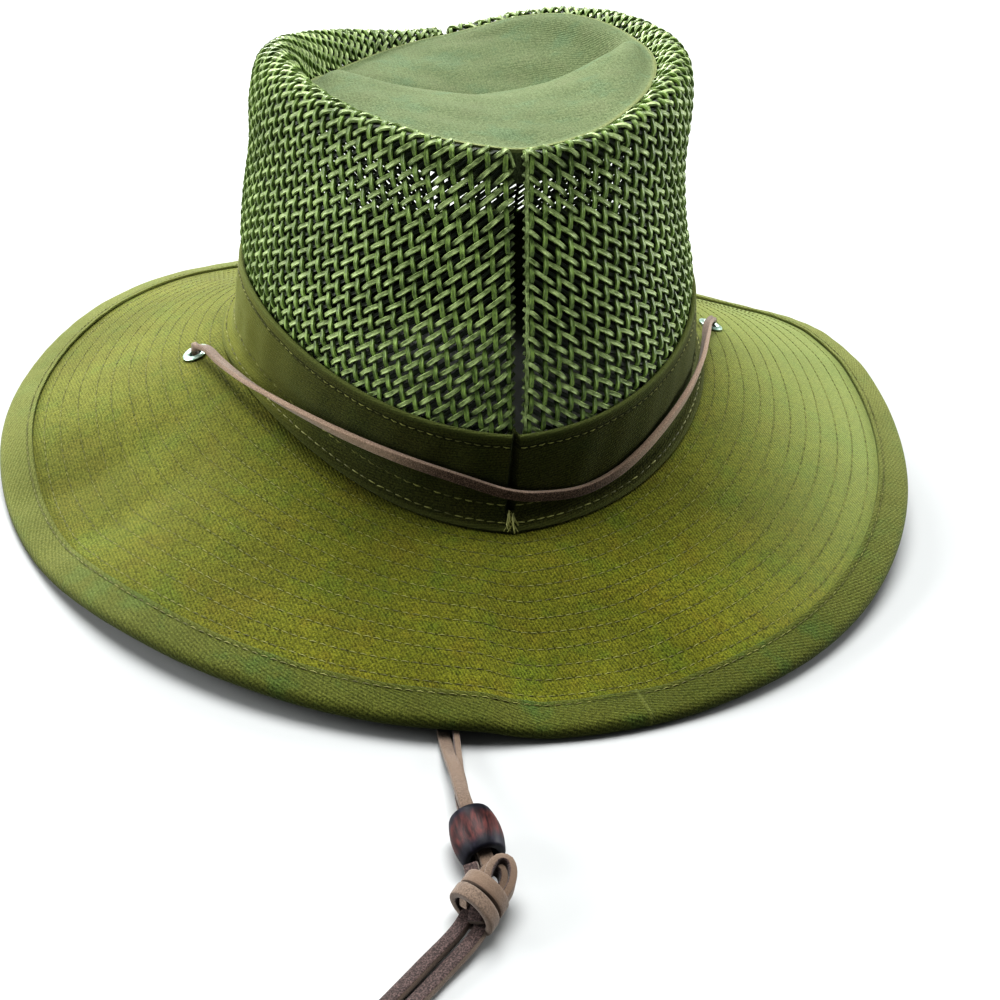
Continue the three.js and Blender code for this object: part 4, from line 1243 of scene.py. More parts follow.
# The back of the strip: under the flare, up inside it and behind the wall to the fold
inner_top = offset_ring("top", band_at, -BAND_WALL - slit[:, 4], -0.6)
inner_mid = offset_ring("mid", band_at, -BAND_WALL - slit[:, 4])
edge = ring_point("edge", band_at)
collar = ring_point("crease", band_at)
collar[:, 2] = edge[:, 2] - COLLAR_DROP
collar_in = collar - ring_outward("crease", band_at) * BAND_WALL
under = edge.copy()
under[:, 2] -= FLARE_WALL
rounded = between(edge, under, 0.5) + ring_outward("edge", band_at) * 0.3
under_in = offset_ring("crease", band_at, 0.0, -UNDER_DROP)
section = [*fold[::-1], *np.moveaxis(face, 1, 0), rounded, under, under_in, collar, collar_in,
           inner_mid, inner_top]
grid = np.stack(section, axis=1)
down_all = np.concatenate((np.tile(FOLD_RUN, (len(band_at), 1)), down_mm,
                           flare_from + INSIDE_RUN), axis=1)
lie = stack(run_along(face[:, BAND_RUN_ROW])[:, None], down_all, np.zeros((1, 1)))
from_foot = down_mm[:, -1:] - down_all
crown_band = swept("twill_crown_band", grid, lie, {"foot": from_foot})
face_out(crown_band, 50)


# How the dye changes in patches, for each of red, green and blue, and the colours of cloth with painted light
GREENER = (0.72, 1.04, 1.25)
BROWNER = (1.08, 0.9, 1.0)
PAINTED_LIGHT_CLOTH = rgba(0.17, 0.19, 0.06), rgba(0.34, 0.36, 0.14)


def dyed(colour, change):
    return rgba(*[part * share for part, share in zip(colour, change)])


def twill(name, ribs, shade, lit, rib_pitch, rib_turn, green=0.5, brown=0.5, painted_light_share=0.0):
    """Worn cotton twill: slanting ribs of short floats, speckled, with patches where the dye has
    turned greener or browner. ribs names the coordinates that the cloth was cut along, and the last
    argument is how much painted light pales it away from the back of the brim."""
    material, wire, shader = finish_for(name)
    lie = lie_of(wire) if ribs == "run" else place_of(wire)
    x, y, _ = lie.parts()
    turn = math.radians(rib_turn)
    wobble = lie.noise(0.3, 2.0, 0.5) * 2.6
    across = x * math.sin(turn) + y * math.cos(turn)
    along = x * math.cos(turn) - y * math.sin(turn)
    phase = across * (2 * math.pi / rib_pitch) + wobble
    rib = wire.maths("SINE", phase) * 0.5 + 0.5
    floats = wire.maths("SINE", along * (2 * math.pi / (rib_pitch * 1.5)) + phase * 0.5)
    floats = floats * 0.5 + 0.5
    slub = lie.noise(1.0, 2.0, 0.6).clamped(0.34, 0.66)
    fuzz = lie.noise(2.3, 2.0, 0.6).clamped(0.32, 0.68)
    thread = rib * (floats * 0.5 + 0.5)
    tone = thread * 0.30 + slub * 0.28 + fuzz * 0.50
    place = place_of(wire)
    faded = place.noise(0.02, 4.0, 0.62).clamped(0.36, 0.66)
    patches = place.noise(0.07, 3.0, 0.65)
    tone = tone * (faded * 0.3 + 0.8)
    plain = tone.mixed(shade, lit)
    greener = [dyed(colour, GREENER) for colour in (shade, lit)]
    browner = [dyed(colour, BROWNER) for colour in (shade, lit)]
    colour = (patches.clamped(0.5, 0.68) * green).mixed(plain, tone.mixed(*greener))
    colour = ((1 - patches.clamped(0.34, 0.48)) * brown).mixed(colour, tone.mixed(*browner))
    # Painted light: paler away from the back of the brim, where the crown's shade doesn't fall
    if painted_light_share:
        to_back = (-10.0, 170.0, 0.0)
        from_back = place.node("ShaderNodeVectorMath", {"operation": "ADD"}, {0: place, 1: to_back})
        away = from_back.node("ShaderNodeVectorMath", {"operation": "LENGTH"}, {0: from_back}, 1)
        painted_light = away.clamped(50.0, 235.0) * painted_light_share
        colour = painted_light.mixed(colour, tone.mixed(*PAINTED_LIGHT_CLOTH))
    join_to(shader, 0.95 - thread * 0.08, "Roughness")
    bumps = fuzz.raised(0.5, 0.12, slub.raised(0.5, 0.14))
    join_to(shader, thread.raised(0.7, 0.16, bumps), "Normal")
    shader.inputs["Sheen Weight"].default_value = 0.10
    shader.inputs["Sheen Roughness"].default_value = 0.4
    shader.inputs["Sheen Tint"].default_value = rgba(0.85, 1.0, 0.72)
    shader.inputs["Specular IOR Level"].default_value = 0.2
    return material, wire, shader, colour


BAND_SHADE, BAND_LIT = rgba(0.008, 0.011, 0.003), rgba(0.080, 0.086, 0.017)
BAND_PAINTED_LIGHT = rgba(0.205, 0.215, 0.040)
BAND_FOLD = rgba(0.11, 0.13, 0.04)
BAND_SEAM = rgba(0.012, 0.013, 0.004)
BAND_EDGE = rgba(0.09, 0.10, 0.03)
material, wire, shader, colour = twill(
    "twill_band", "run", BAND_SHADE, BAND_LIT, rib_pitch=0.85, rib_turn=8, green=0.3, brown=0.3,
    painted_light_share=0.25)
_, band_down, _ = lie_of(wire).parts()
to_right, _, _ = place_of(wire).parts()
# Painted light: the band's left side paler, where the low light from the left falls on it
band_left_painted_light = (0 - to_right).clamped(48, 88) * 0.6
colour = band_left_painted_light.mixed(colour, BAND_PAINTED_LIGHT)
folded = 1 - band_down.clamped(-0.6, 1.3)
colour = (folded * 0.7).mixed(colour, BAND_FOLD)
seam_shade = 1 - abs(band_down - TOP_STITCHES).clamped(0.3, 0.9)
colour = (seam_shade * 0.6).mixed(colour, BAND_SEAM)
edge_fold = 1 - mark_of(wire, "foot").clamped(0.2, 1.2)
colour = (edge_fold * 0.5).mixed(colour, BAND_EDGE)
join_to(shader, colour, "Base Color")
crown_band.data.materials.append(material)
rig.ride(crown_band, "root")
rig.replaces(crown_band, "crown_band")
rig.slot(crown_band, "twill_band")

# Seam thread
# Thick thread in an olive paler than the cloth, in short stitches that sink in at both ends: one
# row along the band's fold and two along its foot. A few threads of the cloth have frayed loose
# where the band's ends meet.
THREAD_SIDES = 4
STITCH_SEED = 23
# Length of a stitch and of the gap after it
TOP_STITCH = 2.0, 0.8
HIGH_STITCH = 2.5, 0.7
LOW_STITCH = 2.4, 0.8
# Width and height of a thread
TOP_THREAD = 0.38, 0.3
FLARE_THREAD = 0.46, 0.36
STITCH_SINK = 0.12
FRAYS = 14
FRAY_SEED = 5
FRAY_RADIUS = 0.2


def stitches(name, rows, wide, deep):
    """Short stitches along lines of points. A row holds its points, the directions square to the
    cloth, and the length of a stitch and of the gap after it."""
    rng = np.random.default_rng(STITCH_SEED)
    tubes, lies, tones = [], [], []
    for points, squares, long, gap in rows:
        run = run_along(points)
        count = int(run[-1] / (long + gap))
        begin = (np.arange(count) + 0.5) * run[-1] / count
        shift = rng.normal(0, 0.10, (count, 2))
        for k in range(count):
            ends = begin[k] + np.array((-0.5, 0.0, 0.5)) * long * (1 + 0.06 * shift[k, 0])
            centre = points_at(ends, run, points)
            normal = unit(points_at(ends, run, squares))
            way = unit(centre[2:] - centre[:1])
            side = np.cross(way, normal)
            centre = centre + side * (np.array((-1, 0, 1))[:, None] * shift[k, 1] * 0.6)
            # Both ends sink into the cloth and are thinner
            lift = np.array((-0.35, 0.55, -0.35))[:, None] * deep
            centre = centre + normal * lift
            thick = np.array((0.55, 1.0, 0.55))[:, None, None]
            angle = np.arange(THREAD_SIDES) * 2 * math.pi / THREAD_SIDES + math.pi / 4
            ring = (side[:, None] * np.cos(angle)[None, :, None] * wide / 2
                    + normal[:, None] * np.sin(angle)[None, :, None] * deep / 2)
            tubes.append(centre[:, None] + ring * thick * 1.3)
            lies.append(np.zeros((3, THREAD_SIDES, 3)) + ends[:, None, None])
            tones.append(np.full((3, THREAD_SIDES), rng.random()))
    piece = bundle(name, tubes, lies, tones)
    face_out(piece, 60)
    return piece


def thread_finish(name, shade, lit):
    material, wire, shader = finish_for(name)
    tone = mark_of(wire, "tone")
    wear_and_painted_light = place_of(wire).noise(0.05, 3.0, 0.6)
    join_to(shader, (tone * 0.5 + wear_and_painted_light * 0.7).clamped(0.3, 0.85).mixed(shade, lit), "Base Color")
    twist = place_of(wire).noise(4.0, 2.0, 0.6)
    join_to(shader, twist.raised(0.5, 0.1), "Normal")
    shader.inputs["Roughness"].default_value = 0.6
    return material


SEAM_THREAD = thread_finish("seam_thread", rgba(0.07, 0.074, 0.018), rgba(0.27, 0.275, 0.09))


def band_row(down=None, from_edge=None):
    """A line along the band's outer face, at one distance from its top or from its foot"""
    turn = np.linspace(0.9, 359.1, 720)
    fine, normal = band_face(turn, np.linspace(0, 1, 60))
    run = run_along(fine)
    want = np.full(len(turn), down) if down is not None else run[:, -1] - from_edge
    points, squares = [np.array([points_at(*row) for row in zip(want, run, lines)])
                       for lines in (fine, normal)]
    squares = unit(squares)
    return points + squares * (wrinkles(turn, want) - STITCH_SINK)[:, None], squares


top_row = (*band_row(down=TOP_STITCHES), *TOP_STITCH)
flare_rows = [(*band_row(from_edge=HIGH_STITCHES), *HIGH_STITCH),
              (*band_row(from_edge=LOW_STITCHES), *LOW_STITCH)]
band_stitches = stitches("band_stitches", [top_row], *TOP_THREAD)
foot_stitches = stitches("band_foot_stitches", flare_rows, *FLARE_THREAD)
rng = np.random.default_rng(FRAY_SEED)
seam_edge, seam_crease = ring_point("edge", 0.0), ring_point("crease", 0.0)
share = np.linspace(0, 1, 5)[:, None]
angle = np.arange(THREAD_SIDES) * 2 * math.pi / THREAD_SIDES
ring = stack(np.cos(angle), np.zeros(THREAD_SIDES), np.sin(angle)) * FRAY_RADIUS
frays = []
for k in range(FRAYS):
    start = between(seam_edge, seam_crease, rng.uniform(0.2, 0.8))
    start = start + (rng.normal(0, 0.5), 0, rng.uniform(0.6, 1.1))
    end = between(seam_edge, seam_crease, rng.uniform(-0.3, 0.3))
    end = end + (rng.normal(0, 1.3), 0, rng.uniform(0.2, 1.0))
    curl = np.sin(share * math.pi * rng.uniform(0.8, 1.6)) * rng.normal(0, 0.6, 3) * (1, 0.5, 0.5)
    line = start + (end - start) * share + curl
    frays.append(line[:, None] + ring)
frayed = bundle("frayed_threads", frays, [np.zeros(f.shape) for f in frays],
                [np.full(f.shape[:2], 0.9) for f in frays])
face_out(frayed, 60)
for piece in (band_stitches, foot_stitches, frayed):
    piece.data.materials.append(SEAM_THREAD)
    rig.ride(piece, "root")
    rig.slot(piece, "twill_band")
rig.sheet(crown_band, flat=(0.032, 0.58), held="folded", rests_on=["brim"],
         with_pieces=[band_stitches, foot_stitches, frayed])

# Brim
# Two layers of washed cotton twill, quilted together with eleven rows of stitches that run right
# round, so that the cloth stands up a little between the rows and its edge waves.
BINDING_WALL = 1.0
BINDING_GAP = 0.3
BINDING_WIDTH = 10.5
BINDING_HALF = BRIM_WALL / 2 + BINDING_GAP + BINDING_WALL
BRIM_COLUMNS = 432
UNDER_ROWS = 14
QUILT_ROWS = 11
FIRST_ROW = 0.055
LAST_ROW_GAP = 3.4
PUFF = 0.13
PUFF_SINK = 0.10
SEAM_GAP = 0.45
QUILT_STITCH = 2.0, 0.75
QUILT_THICK = 0.27, 0.2
EYELET_HOLE = 3.3


def row_shares(line, degrees):
    """Shares of the quilting rows: evenly spaced between the band's foot and the binding"""
    last = line.in_from_edge(np.full(len(degrees), BINDING_WIDTH + LAST_ROW_GAP))
    steps = np.linspace(0, 1, QUILT_ROWS)
    wander = 0.004 * np.sin(np.radians(degrees)[:, None] * 7 + steps * 40)
    return FIRST_ROW + (last[:, None] - FIRST_ROW) * steps + wander


def low_waves(degrees, share):
    """Slow waves of the cloth, none at its two edges"""
    phi = np.radians(degrees)
    wave = 0.25 * np.sin(phi * 9 + 5 * share) + 0.12 * np.sin(phi * 17 - 9 * share + 1.0)
    return wave * share * (1 - share) * 2.2


class Brim:
    """The brim's upper face at some azimuths"""

    def __init__(self, degrees):
        self.degrees = degrees
        self.line = BrimLine(degrees)
        self.rows = row_shares(self.line, degrees)

    def spread(self, share):
        """Line's points for shares given for each azimuth"""
        columns = [self.line.at(share[:, k]) for k in range(share.shape[1])]
        return np.stack(columns, axis=1)

    def top(self, share):
        """Upper face with the quilting, and how far each point is from the nearest row"""
        wide = self.line.width[:, None]
        off = np.abs(share[..., None] - self.rows[:, None, :]).min(axis=-1) * wide
        gap = (self.rows[:, 1] - self.rows[:, 0])[:, None] * wide / 2
        puff = PUFF * (1 - np.exp(-off / (gap * 0.42))) - PUFF_SINK
        last = self.rows[:, -1:]
        puff = np.where(share > last, puff * np.clip(1 - (share - last) * 9, 0.2, 1), puff)
        points = self.spread(share)
        points[..., 2] += BRIM_WALL / 2 + puff + low_waves(self.degrees[:, None], share)
        return points, off


BRIM_RUN_ROW = 30
OFF_ALL_ROWS = 3.0
brim_at = 180 + np.arange(BRIM_COLUMNS) / BRIM_COLUMNS * 360
brim_form = Brim(brim_at)
foot = offset_ring("crease", brim_at, SEAM_GAP)
foot_gap = ring_point("edge", brim_at) - foot
tucked = -np.hypot(foot_gap[:, 0], foot_gap[:, 1]) / brim_form.line.width
brim_out = brim_form.line.in_from_edge(np.full(BRIM_COLUMNS, BINDING_WALL + BINDING_GAP))
# Columns of the mesh lie on each row of stitches and in the puffs between, and the last ones
# under the binding
columns = [tucked, tucked * 0.5, np.zeros(BRIM_COLUMNS) + 0.01]
step = brim_form.rows[:, 1] - brim_form.rows[:, 0]
for row in brim_form.rows.T:
    columns += [row + step * share for share in (0, 0.1, 0.3, 0.7, 0.9)]
columns[-3] = brim_form.line.in_from_edge(np.full(BRIM_COLUMNS, BINDING_WIDTH + 1.0))
columns[-2] = brim_form.line.in_from_edge(np.full(BRIM_COLUMNS, BINDING_WIDTH - 1.0))
columns[-1] = brim_out
top_shares = np.sort(np.stack(columns, axis=1), axis=1)
top_face, off_row = brim_form.top(top_shares)
under_shares = np.linspace(1, 0, UNDER_ROWS)[None] * (brim_out - tucked)[:, None] + tucked[:, None]
under_face = brim_form.spread(under_shares)
under_face[..., 2] -= BRIM_WALL / 2
under_face[..., 2] += low_waves(brim_at[:, None], under_shares).clip(0, 1)
grid = np.concatenate((top_face, under_face), axis=1)
grid[:, 0, :2] = foot[:, :2]
grid[:, -1, :2] = foot[:, :2]
reach = np.concatenate((top_shares, under_shares), axis=1) * brim_form.line.width[:, None]
lie = stack(run_along(top_face[:, BRIM_RUN_ROW])[:, None], reach, np.zeros((1, 1)))
off_all = np.concatenate((off_row, np.full(under_shares.shape, OFF_ALL_ROWS)), axis=1)
brim = swept("twill_brim", grid, lie, {"off_row": off_all})
face_out(brim, 50)
for centre, axis in (SEAT_LEFT, SEAT_RIGHT):
    turn = Vector((0, 0, 1)).rotation_difference(Vector(axis))
    bpy.ops.mesh.primitive_cylinder_add(
        vertices=32, radius=EYELET_HOLE * MM, depth=9 * MM, location=(centre + FRAME_SHIFT) * MM,
        rotation=turn.to_euler())
    punch = bpy.context.object
    hole = brim.modifiers.new("punched_hole", "BOOLEAN")
    hole.operation = "DIFFERENCE"
    hole.object = punch
    bpy.context.view_layer.objects.active = brim
    bpy.ops.object.modifier_apply(modifier=hole.name)
    bpy.data.objects.remove(punch)

BRIM_SHADE, BRIM_LIT = rgba(0.019, 0.022, 0.0005), rgba(0.182, 0.188, 0.0185)
BRIM_DUST_AND_LIGHT = rgba(0.275, 0.34, 0.15)
QUILT_SHADE = rgba(0.02, 0.022, 0.001)
NEEDLE_HOLES = rgba(0.004, 0.005, 0.001)
material, wire, shader, colour = twill(
    "twill_brim", "place", BRIM_SHADE, BRIM_LIT, rib_pitch=0.92, rib_turn=73, painted_light_share=0.30)
along, _, _ = lie_of(wire).parts()
holes = wire.maths("SINE", along * (2 * math.pi / sum(QUILT_STITCH))) * 0.5 + 0.5
to_right, _, _ = place_of(wire).parts()
# Paler towards the right: partly dust, partly painted light where the brim's right catches the top light
colour = (to_right.clamped(45, 160) * 0.50).mixed(colour, BRIM_DUST_AND_LIGHT)
to_side = abs(to_right).clamped(50, 120)
quilted = (1 - mark_of(wire, "off_row").clamped(0.1, 0.55)) * (1 - to_side * 0.5)
dots = quilted * holes.clamped(0.7, 0.98)
colour = (quilted * 0.18).mixed(colour, QUILT_SHADE)
colour = (dots * 0.62).mixed(colour, NEEDLE_HOLES)
join_to(shader, colour, "Base Color")
brim.data.materials.append(material)
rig.ride(brim, "root")
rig.replaces(brim, "brim")
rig.slot(brim, "twill_brim")


def brim_row(row, start):
    """The line of one row of quilting, and the directions square to the cloth"""
    turn = np.linspace(start, start + 360, 1441)
    form = Brim(turn)
    points, _ = form.top(form.rows[:, row:row + 1])
    ahead_of = np.gradient(points[:, 0], axis=0)
    outer, _ = form.top(form.rows[:, row:row + 1] + 0.02)
    inner, _ = form.top(form.rows[:, row:row + 1] - 0.02)
    square = unit(np.cross(ahead_of, (outer - inner)[:, 0]))
    square *= np.sign(square[:, 2:])
    return points[:, 0] + square * 0.05, square


QUILT_THREAD = thread_finish("quilt_thread", rgba(0.066, 0.068, 0.007), rgba(0.185, 0.19, 0.046))
quilt_lines = [(*brim_row(k, 3.1 * k), *QUILT_STITCH) for k in range(QUILT_ROWS)]
quilting = stitches("brim_quilting", quilt_lines, *QUILT_THICK)
quilting.data.materials.append(QUILT_THREAD)
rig.ride(quilting, "root")
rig.slot(quilting, "twill_brim")
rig.sheet(brim, flat=(0.318, 0.350), held="stretched", rests_on=["crown_band"], area=0.059,
         with_pieces=[quilting])

# Brim binding
# A bias strip of the same twill folded round the brim's edge, 10.5 mm wide on both sides, and
# stitched down along its inner edge. Its ends overlap at the back right.
BINDING_COLUMNS = 480
# Azimuth of the overlap, its step in height, how far in degrees the loop stays open there, and
# over how far it thickens and shows
JOINT_AT = 9.2
JOINT_STEP = 0.5
JOINT_OPEN = 0.22
JOINT_RUN = 9
STITCH_IN = 8.8
BESIDE_STITCH = 7.8
BINDING_THREAD = 0.3, 0.24


def binding_loop():
    """Loop round the brim's edge: reach in from the edge and height off the cloth's middle"""
    inner = BRIM_WALL / 2 + BINDING_GAP
    nose = [(BINDING_HALF * (1 - math.cos(t)), BINDING_HALF * math.sin(t))
            for t in np.radians((0, 20, 40, 60, 78))]
    top = [(2.6, BINDING_HALF + 0.02), (5.0, BINDING_HALF + 0.1), (7.4, BINDING_HALF + 0.04),
           (8.6, BINDING_HALF - 0.1), (9.2, BINDING_HALF - 0.02), (9.9, BINDING_HALF + 0.02),
           (10.35, BINDING_HALF - 0.1), (BINDING_WIDTH, BINDING_HALF - 0.35)]
    side = [*nose, *top, (BINDING_WIDTH, inner), (6.0, inner), (BINDING_WALL, inner)]
    return side + [(reach, -min(rise, BINDING_HALF)) for reach, rise in side[:0:-1]]


binding_at = JOINT_AT + np.linspace(0, 360 - JOINT_OPEN, BINDING_COLUMNS)
binding_line = BrimLine(binding_at)
to_end = JOINT_AT + 360 - JOINT_OPEN - binding_at
thicker = JOINT_STEP * np.clip(1 - to_end / JOINT_RUN, 0, 1)
ripple = 0.08 * np.sin(np.radians(binding_at) * 61 + 4 * np.sin(np.radians(binding_at) * 7))
section = []
for reach, height in binding_loop():
    point = binding_line.at(binding_line.in_from_edge(np.full(BINDING_COLUMNS, reach)))
    point[:, 2] += height
    if height > BRIM_WALL / 2 + BINDING_GAP + 0.1:
        point[:, 2] += (thicker + ripple) * min(1, reach / 1.2)
    section.append(point)
loop = np.array(binding_loop())
arc = np.r_[0, np.cumsum(np.hypot(*np.diff(loop, axis=0).T))]
arc = np.where(loop[:, 1] >= 0, arc, arc - arc[-1] - np.hypot(*(loop[0] - loop[-1])))
stitch_arc = np.interp(STITCH_IN, loop[:13, 0], arc[:13])
grid = np.stack(section, axis=1)
edge_run = run_along(edge_point(binding_at))
lie = stack(edge_run[:, None], arc[None], np.zeros((1, 1)))
past = edge_run[-1] - edge_run
joint = np.tile(np.minimum(past, JOINT_RUN)[:, None], (1, len(arc)))
joint[0] = JOINT_RUN
binding = swept("twill_binding", grid, lie, {"joint": joint})
face_out(binding, 50)
BINDING_SHADE, BINDING_LIT = rgba(0.018, 0.023, 0.002), rgba(0.120, 0.134, 0.027)
BINDING_SEAM = rgba(0.012, 0.014, 0.001)
BINDING_PAINTED_SHADE = rgba(0.010, 0.016, 0.003)
BINDING_JOINT = rgba(0.21, 0.23, 0.07)
material, wire, shader, colour = twill(
    "twill_binding", "run", BINDING_SHADE, BINDING_LIT, rib_pitch=0.95, rib_turn=20, green=0.8,
    brown=0.2, painted_light_share=0.5)
_, reach_in, _ = lie_of(wire).parts()
seam_shade = 1 - abs(reach_in - float(stitch_arc)).clamped(0.15, 0.6)
colour = (seam_shade * 0.35).mixed(colour, BINDING_SEAM)
# Painted shade: the binding's nose and underside darker, as they turn away from the light
painted_underside_shade = 1 - reach_in.clamped(-1.5, 2.4)
colour = (painted_underside_shade * 0.6).mixed(colour, BINDING_PAINTED_SHADE)
joint_edge = 1 - mark_of(wire, "joint").clamped(0.3, 1.1)
colour = (joint_edge * 0.25).mixed(colour, BINDING_JOINT)
join_to(shader, colour, "Base Color")
binding.data.materials.append(material)
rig.ride(binding, "root")
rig.replaces(binding, "brim_binding")
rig.slot(binding, "twill_binding")

turn = np.linspace(0, 360, 1441)
cloth = BrimLine(turn)
points, beside = [cloth.at(cloth.in_from_edge(np.full(len(turn), reach)))
                  for reach in (STITCH_IN, BESIDE_STITCH)]
square = unit(np.cross(np.gradient(points, axis=0), beside - points))
square *= np.sign(square[:, 2:])
points[:, 2] += BINDING_HALF - 0.02
binding_row = (points, square, *QUILT_STITCH)
binding_stitches = stitches("binding_stitches", [binding_row], *BINDING_THREAD)
binding_stitches.data.materials.append(QUILT_THREAD)
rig.ride(binding_stitches, "root")
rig.slot(binding_stitches, "twill_binding")
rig.sheet(binding, flat=(0.023, 1.053), held="folded", rests_on=["brim"],
         with_pieces=[binding_stitches])

# Crown tip
# A single layer of pale, faded twill closes the crown. Its edge is folded under and sewn over
# the mesh, and a crease runs across it between a cushion at the back and the long front slope.
TIP_WALL = 1.5
TIP_HUB = np.array((1.0, 14.0))
TIP_COLUMNS = 168
TIP_LINES = 44
HEM_DROP = 9.5
HEM_IN = 2.0
# Fullness of the cushion behind the crease, at places across it, and of the front slope
CUSHION_AT = (-50, -20, 10, 42, 60)
TIP_CUSHION = (3.0, 3.4, 4.2, 6.2, 5.0)
CUSHION_RISE = 3.4
TIP_BELLY = 1.6
SOFTENED_BY = (-4.0, -2.0, 0.0, 2.0, 4.0)
TIP_WRINKLE = 0.35
# The folded edge: how far out and how far down each of its rows is
TIP_FOLD = ((0.5, 0.0), (0.62, -0.45), (0.4, -0.95), (0.0, -1.3))
TIP_PALE, TIP_PALEST = rgba(0.074, 0.100, 0.045), rgba(0.205, 0.250, 0.132)
TIP_EDGE = rgba(0.34, 0.36, 0.17)
# The crease's line: across, from back to front, and up
TIP_CREASE = np.array((
    (-56, 16, 117.5), (-50, 16, 117), (-40, 15, 115), (-30, 14, 113), (-14, 13, 110.5),
    (0, 13, 109.3), (14, 13, 110.3), (25, 14, 111.8), (35, 15, 114.5), (45, 16, 119.5),
    (53, 17, 125.0), (60, 18, 130.0)))
seam_ring = rim_points(np.arange(0.0, 360.0))[3]


def tip_height(x, y):
    """Height of the tip: straight from the crease to the seam, and a little fuller between"""
    crease_y = np.interp(x, TIP_CREASE[:, 0], TIP_CREASE[:, 1])
    crease_z = np.interp(x, TIP_CREASE[:, 0], TIP_CREASE[:, 2])
    front = y > crease_y
    seam_y, seam_z = np.empty_like(x), np.empty_like(x)
    for half in (True, False):
        rows = seam_ring[(seam_ring[:, 1] > 16) == half]
        rows = rows[np.argsort(rows[:, 0])]
        at = front == half
        seam_y[at] = np.interp(x[at], rows[:, 0], rows[:, 1])
        seam_z[at] = np.interp(x[at], rows[:, 0], rows[:, 2])
    gap = seam_y - crease_y
    t = np.clip((y - crease_y) / np.where(np.abs(gap) < 1e-6, 1, gap), 0, 1)
    cushion = np.interp(x, CUSHION_AT, TIP_CUSHION)
    rounded = CUSHION_RISE * (1 - np.exp(-t * 4.5)) * (1 - t)
    bulge = np.where(front, TIP_BELLY * 4 * t * (1 - t), cushion * rounded)
    return crease_z + (seam_z - crease_z) * t + bulge


def soft_tip_height(x, y):
    """The same with its crease softened"""
    total = np.zeros_like(x)
    weights = 0.0
    for dx in SOFTENED_BY:
        for dy in SOFTENED_BY:
            weight = math.exp(-(dx * dx + dy * dy) / 9)
            total += weight * tip_height(x + dx, y + dy)
            weights += weight
    return total / weights


tip_at = np.arange(TIP_COLUMNS) / TIP_COLUMNS * 360
tip_seam = rim_points(tip_at)[3]
tip_way = tip_seam[:, :2] - TIP_HUB
tip_length = np.linalg.norm(tip_way, axis=1, keepdims=True)
tip_way = tip_way * (tip_length - SEAM_GAP) / tip_length
shares = 1 - np.linspace(0, 1, TIP_LINES) ** 1.25 * 0.975
lines = []
for share in shares:
    plan = TIP_HUB + tip_way * share
    x, y = plan[:, 0], plan[:, 1]
    near = eased(np.clip((share - 0.8) / 0.2, 0, 1))
    z = soft_tip_height(x, y) * (1 - near) + tip_seam[:, 2] * near
    wrinkle = TIP_WRINKLE * np.sin(0.16 * x + 0.28 * y) * np.sin(0.09 * x - 0.05 * y + 1.0)
    z = z + wrinkle * np.clip((1 - share) * 6, 0, 1)
    lines.append(stack(x, y, z))
ring_grid = np.array(lines)
out_tip = ring_outward("shoulder", tip_at)
fold_rings = []
for out, down in TIP_FOLD[::-1]:
    folded_edge = ring_grid[0] + out_tip * (out - 0.3)
    folded_edge[:, 2] += down + 0.25
    fold_rings.append(folded_edge)
# The hem's two layers stand up at the edge, and the cloth dips past them
for row, height in ((1, 0.28), (2, 0.2), (4, -0.12)):
    ring_grid[row, :, 2] += height
upper = np.concatenate((np.array(fold_rings), ring_grid))
under = ring_grid[::-3].copy()
under[..., 2] -= TIP_WALL
# The skin is a stack of rings: from the fold in to the middle above, where one face closes it,
# and from a second face in the middle below out to the fold again
skin = np.concatenate((upper, under))
rows, count = skin.shape[:2]
index = np.arange(rows * count).reshape(rows, count)
turned = np.roll(index, -1, axis=1)
last_upper = len(upper) - 1
faces = []
for k in range(rows):
    if k == last_upper:
        continue
    after = (k + 1) % rows
    quads = np.stack((index[k], turned[k], turned[after], index[after]), axis=-1)
    faces += quads.tolist()
faces += [index[last_upper].tolist(), index[last_upper + 1, ::-1].tolist()]
hem = []
for inward, down in ((0.5, 0.6), (0.9, HEM_DROP), (HEM_IN, HEM_DROP), (1.6, 0.9)):
    line = tip_seam + out_tip * -inward
    line[:, 2] -= down
    hem.append(line)
hem_index = len(skin) * count + np.arange(4 * count).reshape(4, count)
for k in range(4):
    here, after = hem_index[k], hem_index[(k + 1) % 4]
    quads = np.stack((here, np.roll(here, -1), np.roll(after, -1), after), axis=-1)
    faces += quads.tolist()
skin = np.concatenate((skin, np.array(hem)))
mesh = bpy.data.meshes.new("twill_tip")
mesh.from_pydata((skin.reshape(-1, 3) + FRAME_SHIFT) * MM, [], faces)
reach_in = np.concatenate((np.full(4, -0.5), (1 - shares) * 60, np.full(len(under) + 4, 20)))
attribute = mesh.attributes.new("from_edge", "FLOAT", "POINT")
attribute.data.foreach_set("value", np.repeat(reach_in, count).astype(float))
tip = bpy.data.objects.new("twill_tip", mesh)
bpy.context.collection.objects.link(tip)
face_out(tip, 60)
material, wire, shader, colour = twill(
    "twill_tip", "place", TIP_PALE, TIP_PALEST, rib_pitch=0.85, rib_turn=35, green=0.3, brown=0.2)
at_edge = 1 - mark_of(wire, "from_edge").clamped(0.2, 1.6)
colour = (at_edge * 0.5).mixed(colour, TIP_EDGE)
join_to(shader, colour, "Base Color")
tip.data.materials.append(material)
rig.ride(tip, "root")
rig.replaces(tip, "crown_tip")
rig.slot(tip, "twill_tip")
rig.sheet(tip, flat=(0.139, 0.169), held="stretched", area=0.0184,
         rests_on=["crown_mesh_left", "crown_mesh_right"])

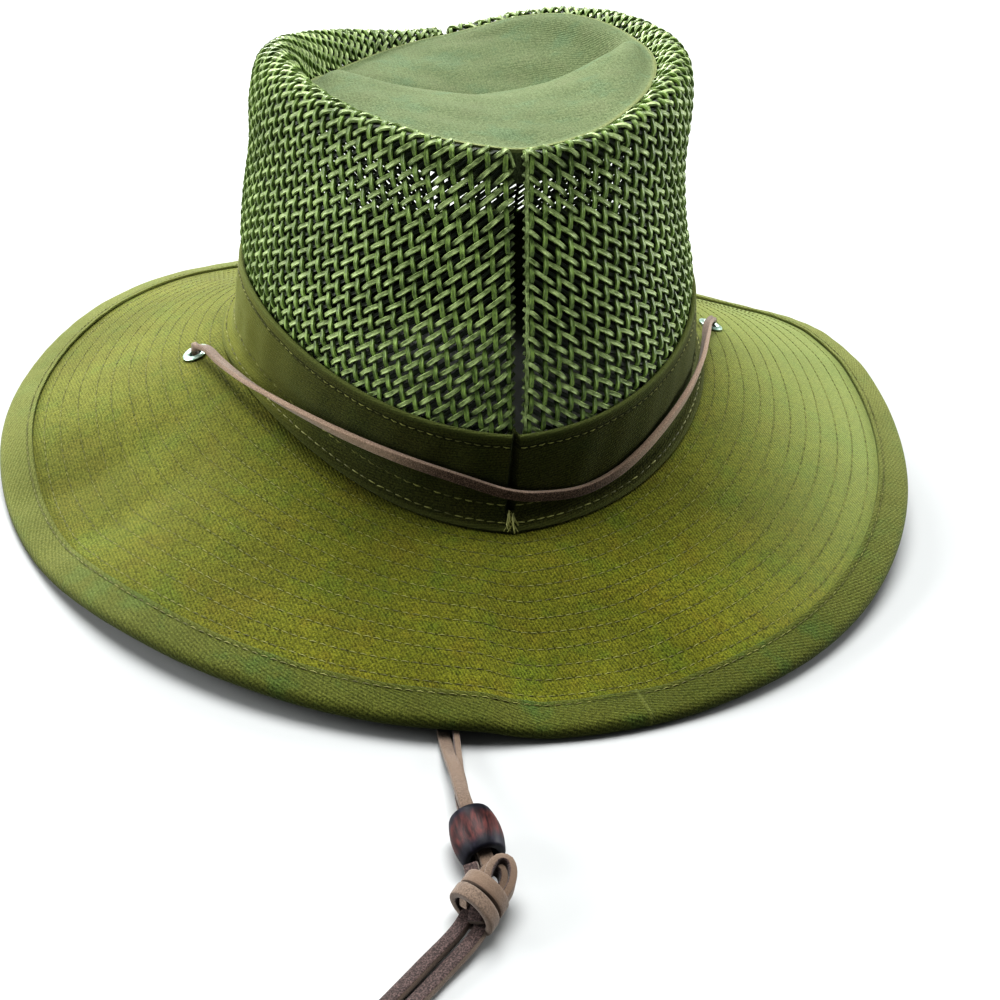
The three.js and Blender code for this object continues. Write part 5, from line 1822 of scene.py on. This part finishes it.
# Eyelets
# A rolled metal eyelet on each side, silver with a pale green cast, pressed through the brim next
# to the band.
METAL_DULL, METAL_BRIGHT = rgba(0.36, 0.52, 0.44), rgba(0.62, 0.74, 0.66)
material, wire, shader = finish_for("eyelet_metal")
dull = place_of(wire).noise(0.9, 3.0, 0.6)
join_to(shader, dull.clamped(0.3, 0.8).mixed(METAL_DULL, METAL_BRIGHT), "Base Color")
join_to(shader, dull * 0.2 + 0.25, "Roughness")
shader.inputs["Metallic"].default_value = 0.6
for word in ("left", "right"):
    eyelet = frame["nodes"][f"eyelet_{word}"]
    eyelet.data.materials.clear()
    eyelet.data.materials.append(material)

# Floor, light and sky
# A plain pale floor, lit softly from above and from past the hat so that it burns out to white,
# with two wide lights from low on the left and the right.
FLOOR_SIZE = 14
FLOOR_PAINT = rgba(0.43, 0.44, 0.44)
SKY_TINT = rgba(0.97, 1.0, 1.0)
SKY_STRENGTH = 0.13
bpy.ops.mesh.primitive_plane_add(size=FLOOR_SIZE, location=(0, 3, 0))
floor = bpy.context.object
floor.name = "pale_floor"
bpy.ops.object.transform_apply(location=True, rotation=True, scale=True)
material, wire, shader = finish_for("pale_floor")
shader.inputs["Base Color"].default_value = FLOOR_PAINT
shader.inputs["Roughness"].default_value = 0.9
floor.data.materials.append(material)
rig.stage(floor)

# Where each light comes from, its strength and how wide it spreads, in degrees
LIGHTS = (
    ((0.0, 0.33, 1.0), 3.8, 40), ((-0.2, 1.0, 0.45), 1.7, 24), ((-0.97, 0.25, 0.36), 2.35, 30),
    ((0.97, 0.25, 0.28), 1.9, 26))
for place, energy, spread in LIGHTS:
    bpy.ops.object.light_add(type="SUN", location=place)
    lamp = bpy.context.object
    lamp.data.energy = energy
    lamp.data.angle = math.radians(spread)
    lamp.rotation_euler = Vector(place).to_track_quat("Z", "Y").to_euler()
world = bpy.data.worlds.new("soft_room")
bpy.context.scene.world = world
world.use_nodes = True
sky = next(n for n in world.node_tree.nodes if n.type == "BACKGROUND")
sky.inputs["Color"].default_value = SKY_TINT
sky.inputs["Strength"].default_value = SKY_STRENGTH
bpy.context.scene.view_settings.view_transform = "Standard"
bpy.context.scene.view_settings.look = "High Contrast"

bpy.context.view_layer.update()
with open("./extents.json", "w") as note:
    json.dump({"cad": [list(map(float, corner)) for corner in cad_box],
               "visual": [list(map(float, corner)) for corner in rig.bounds()]}, note)
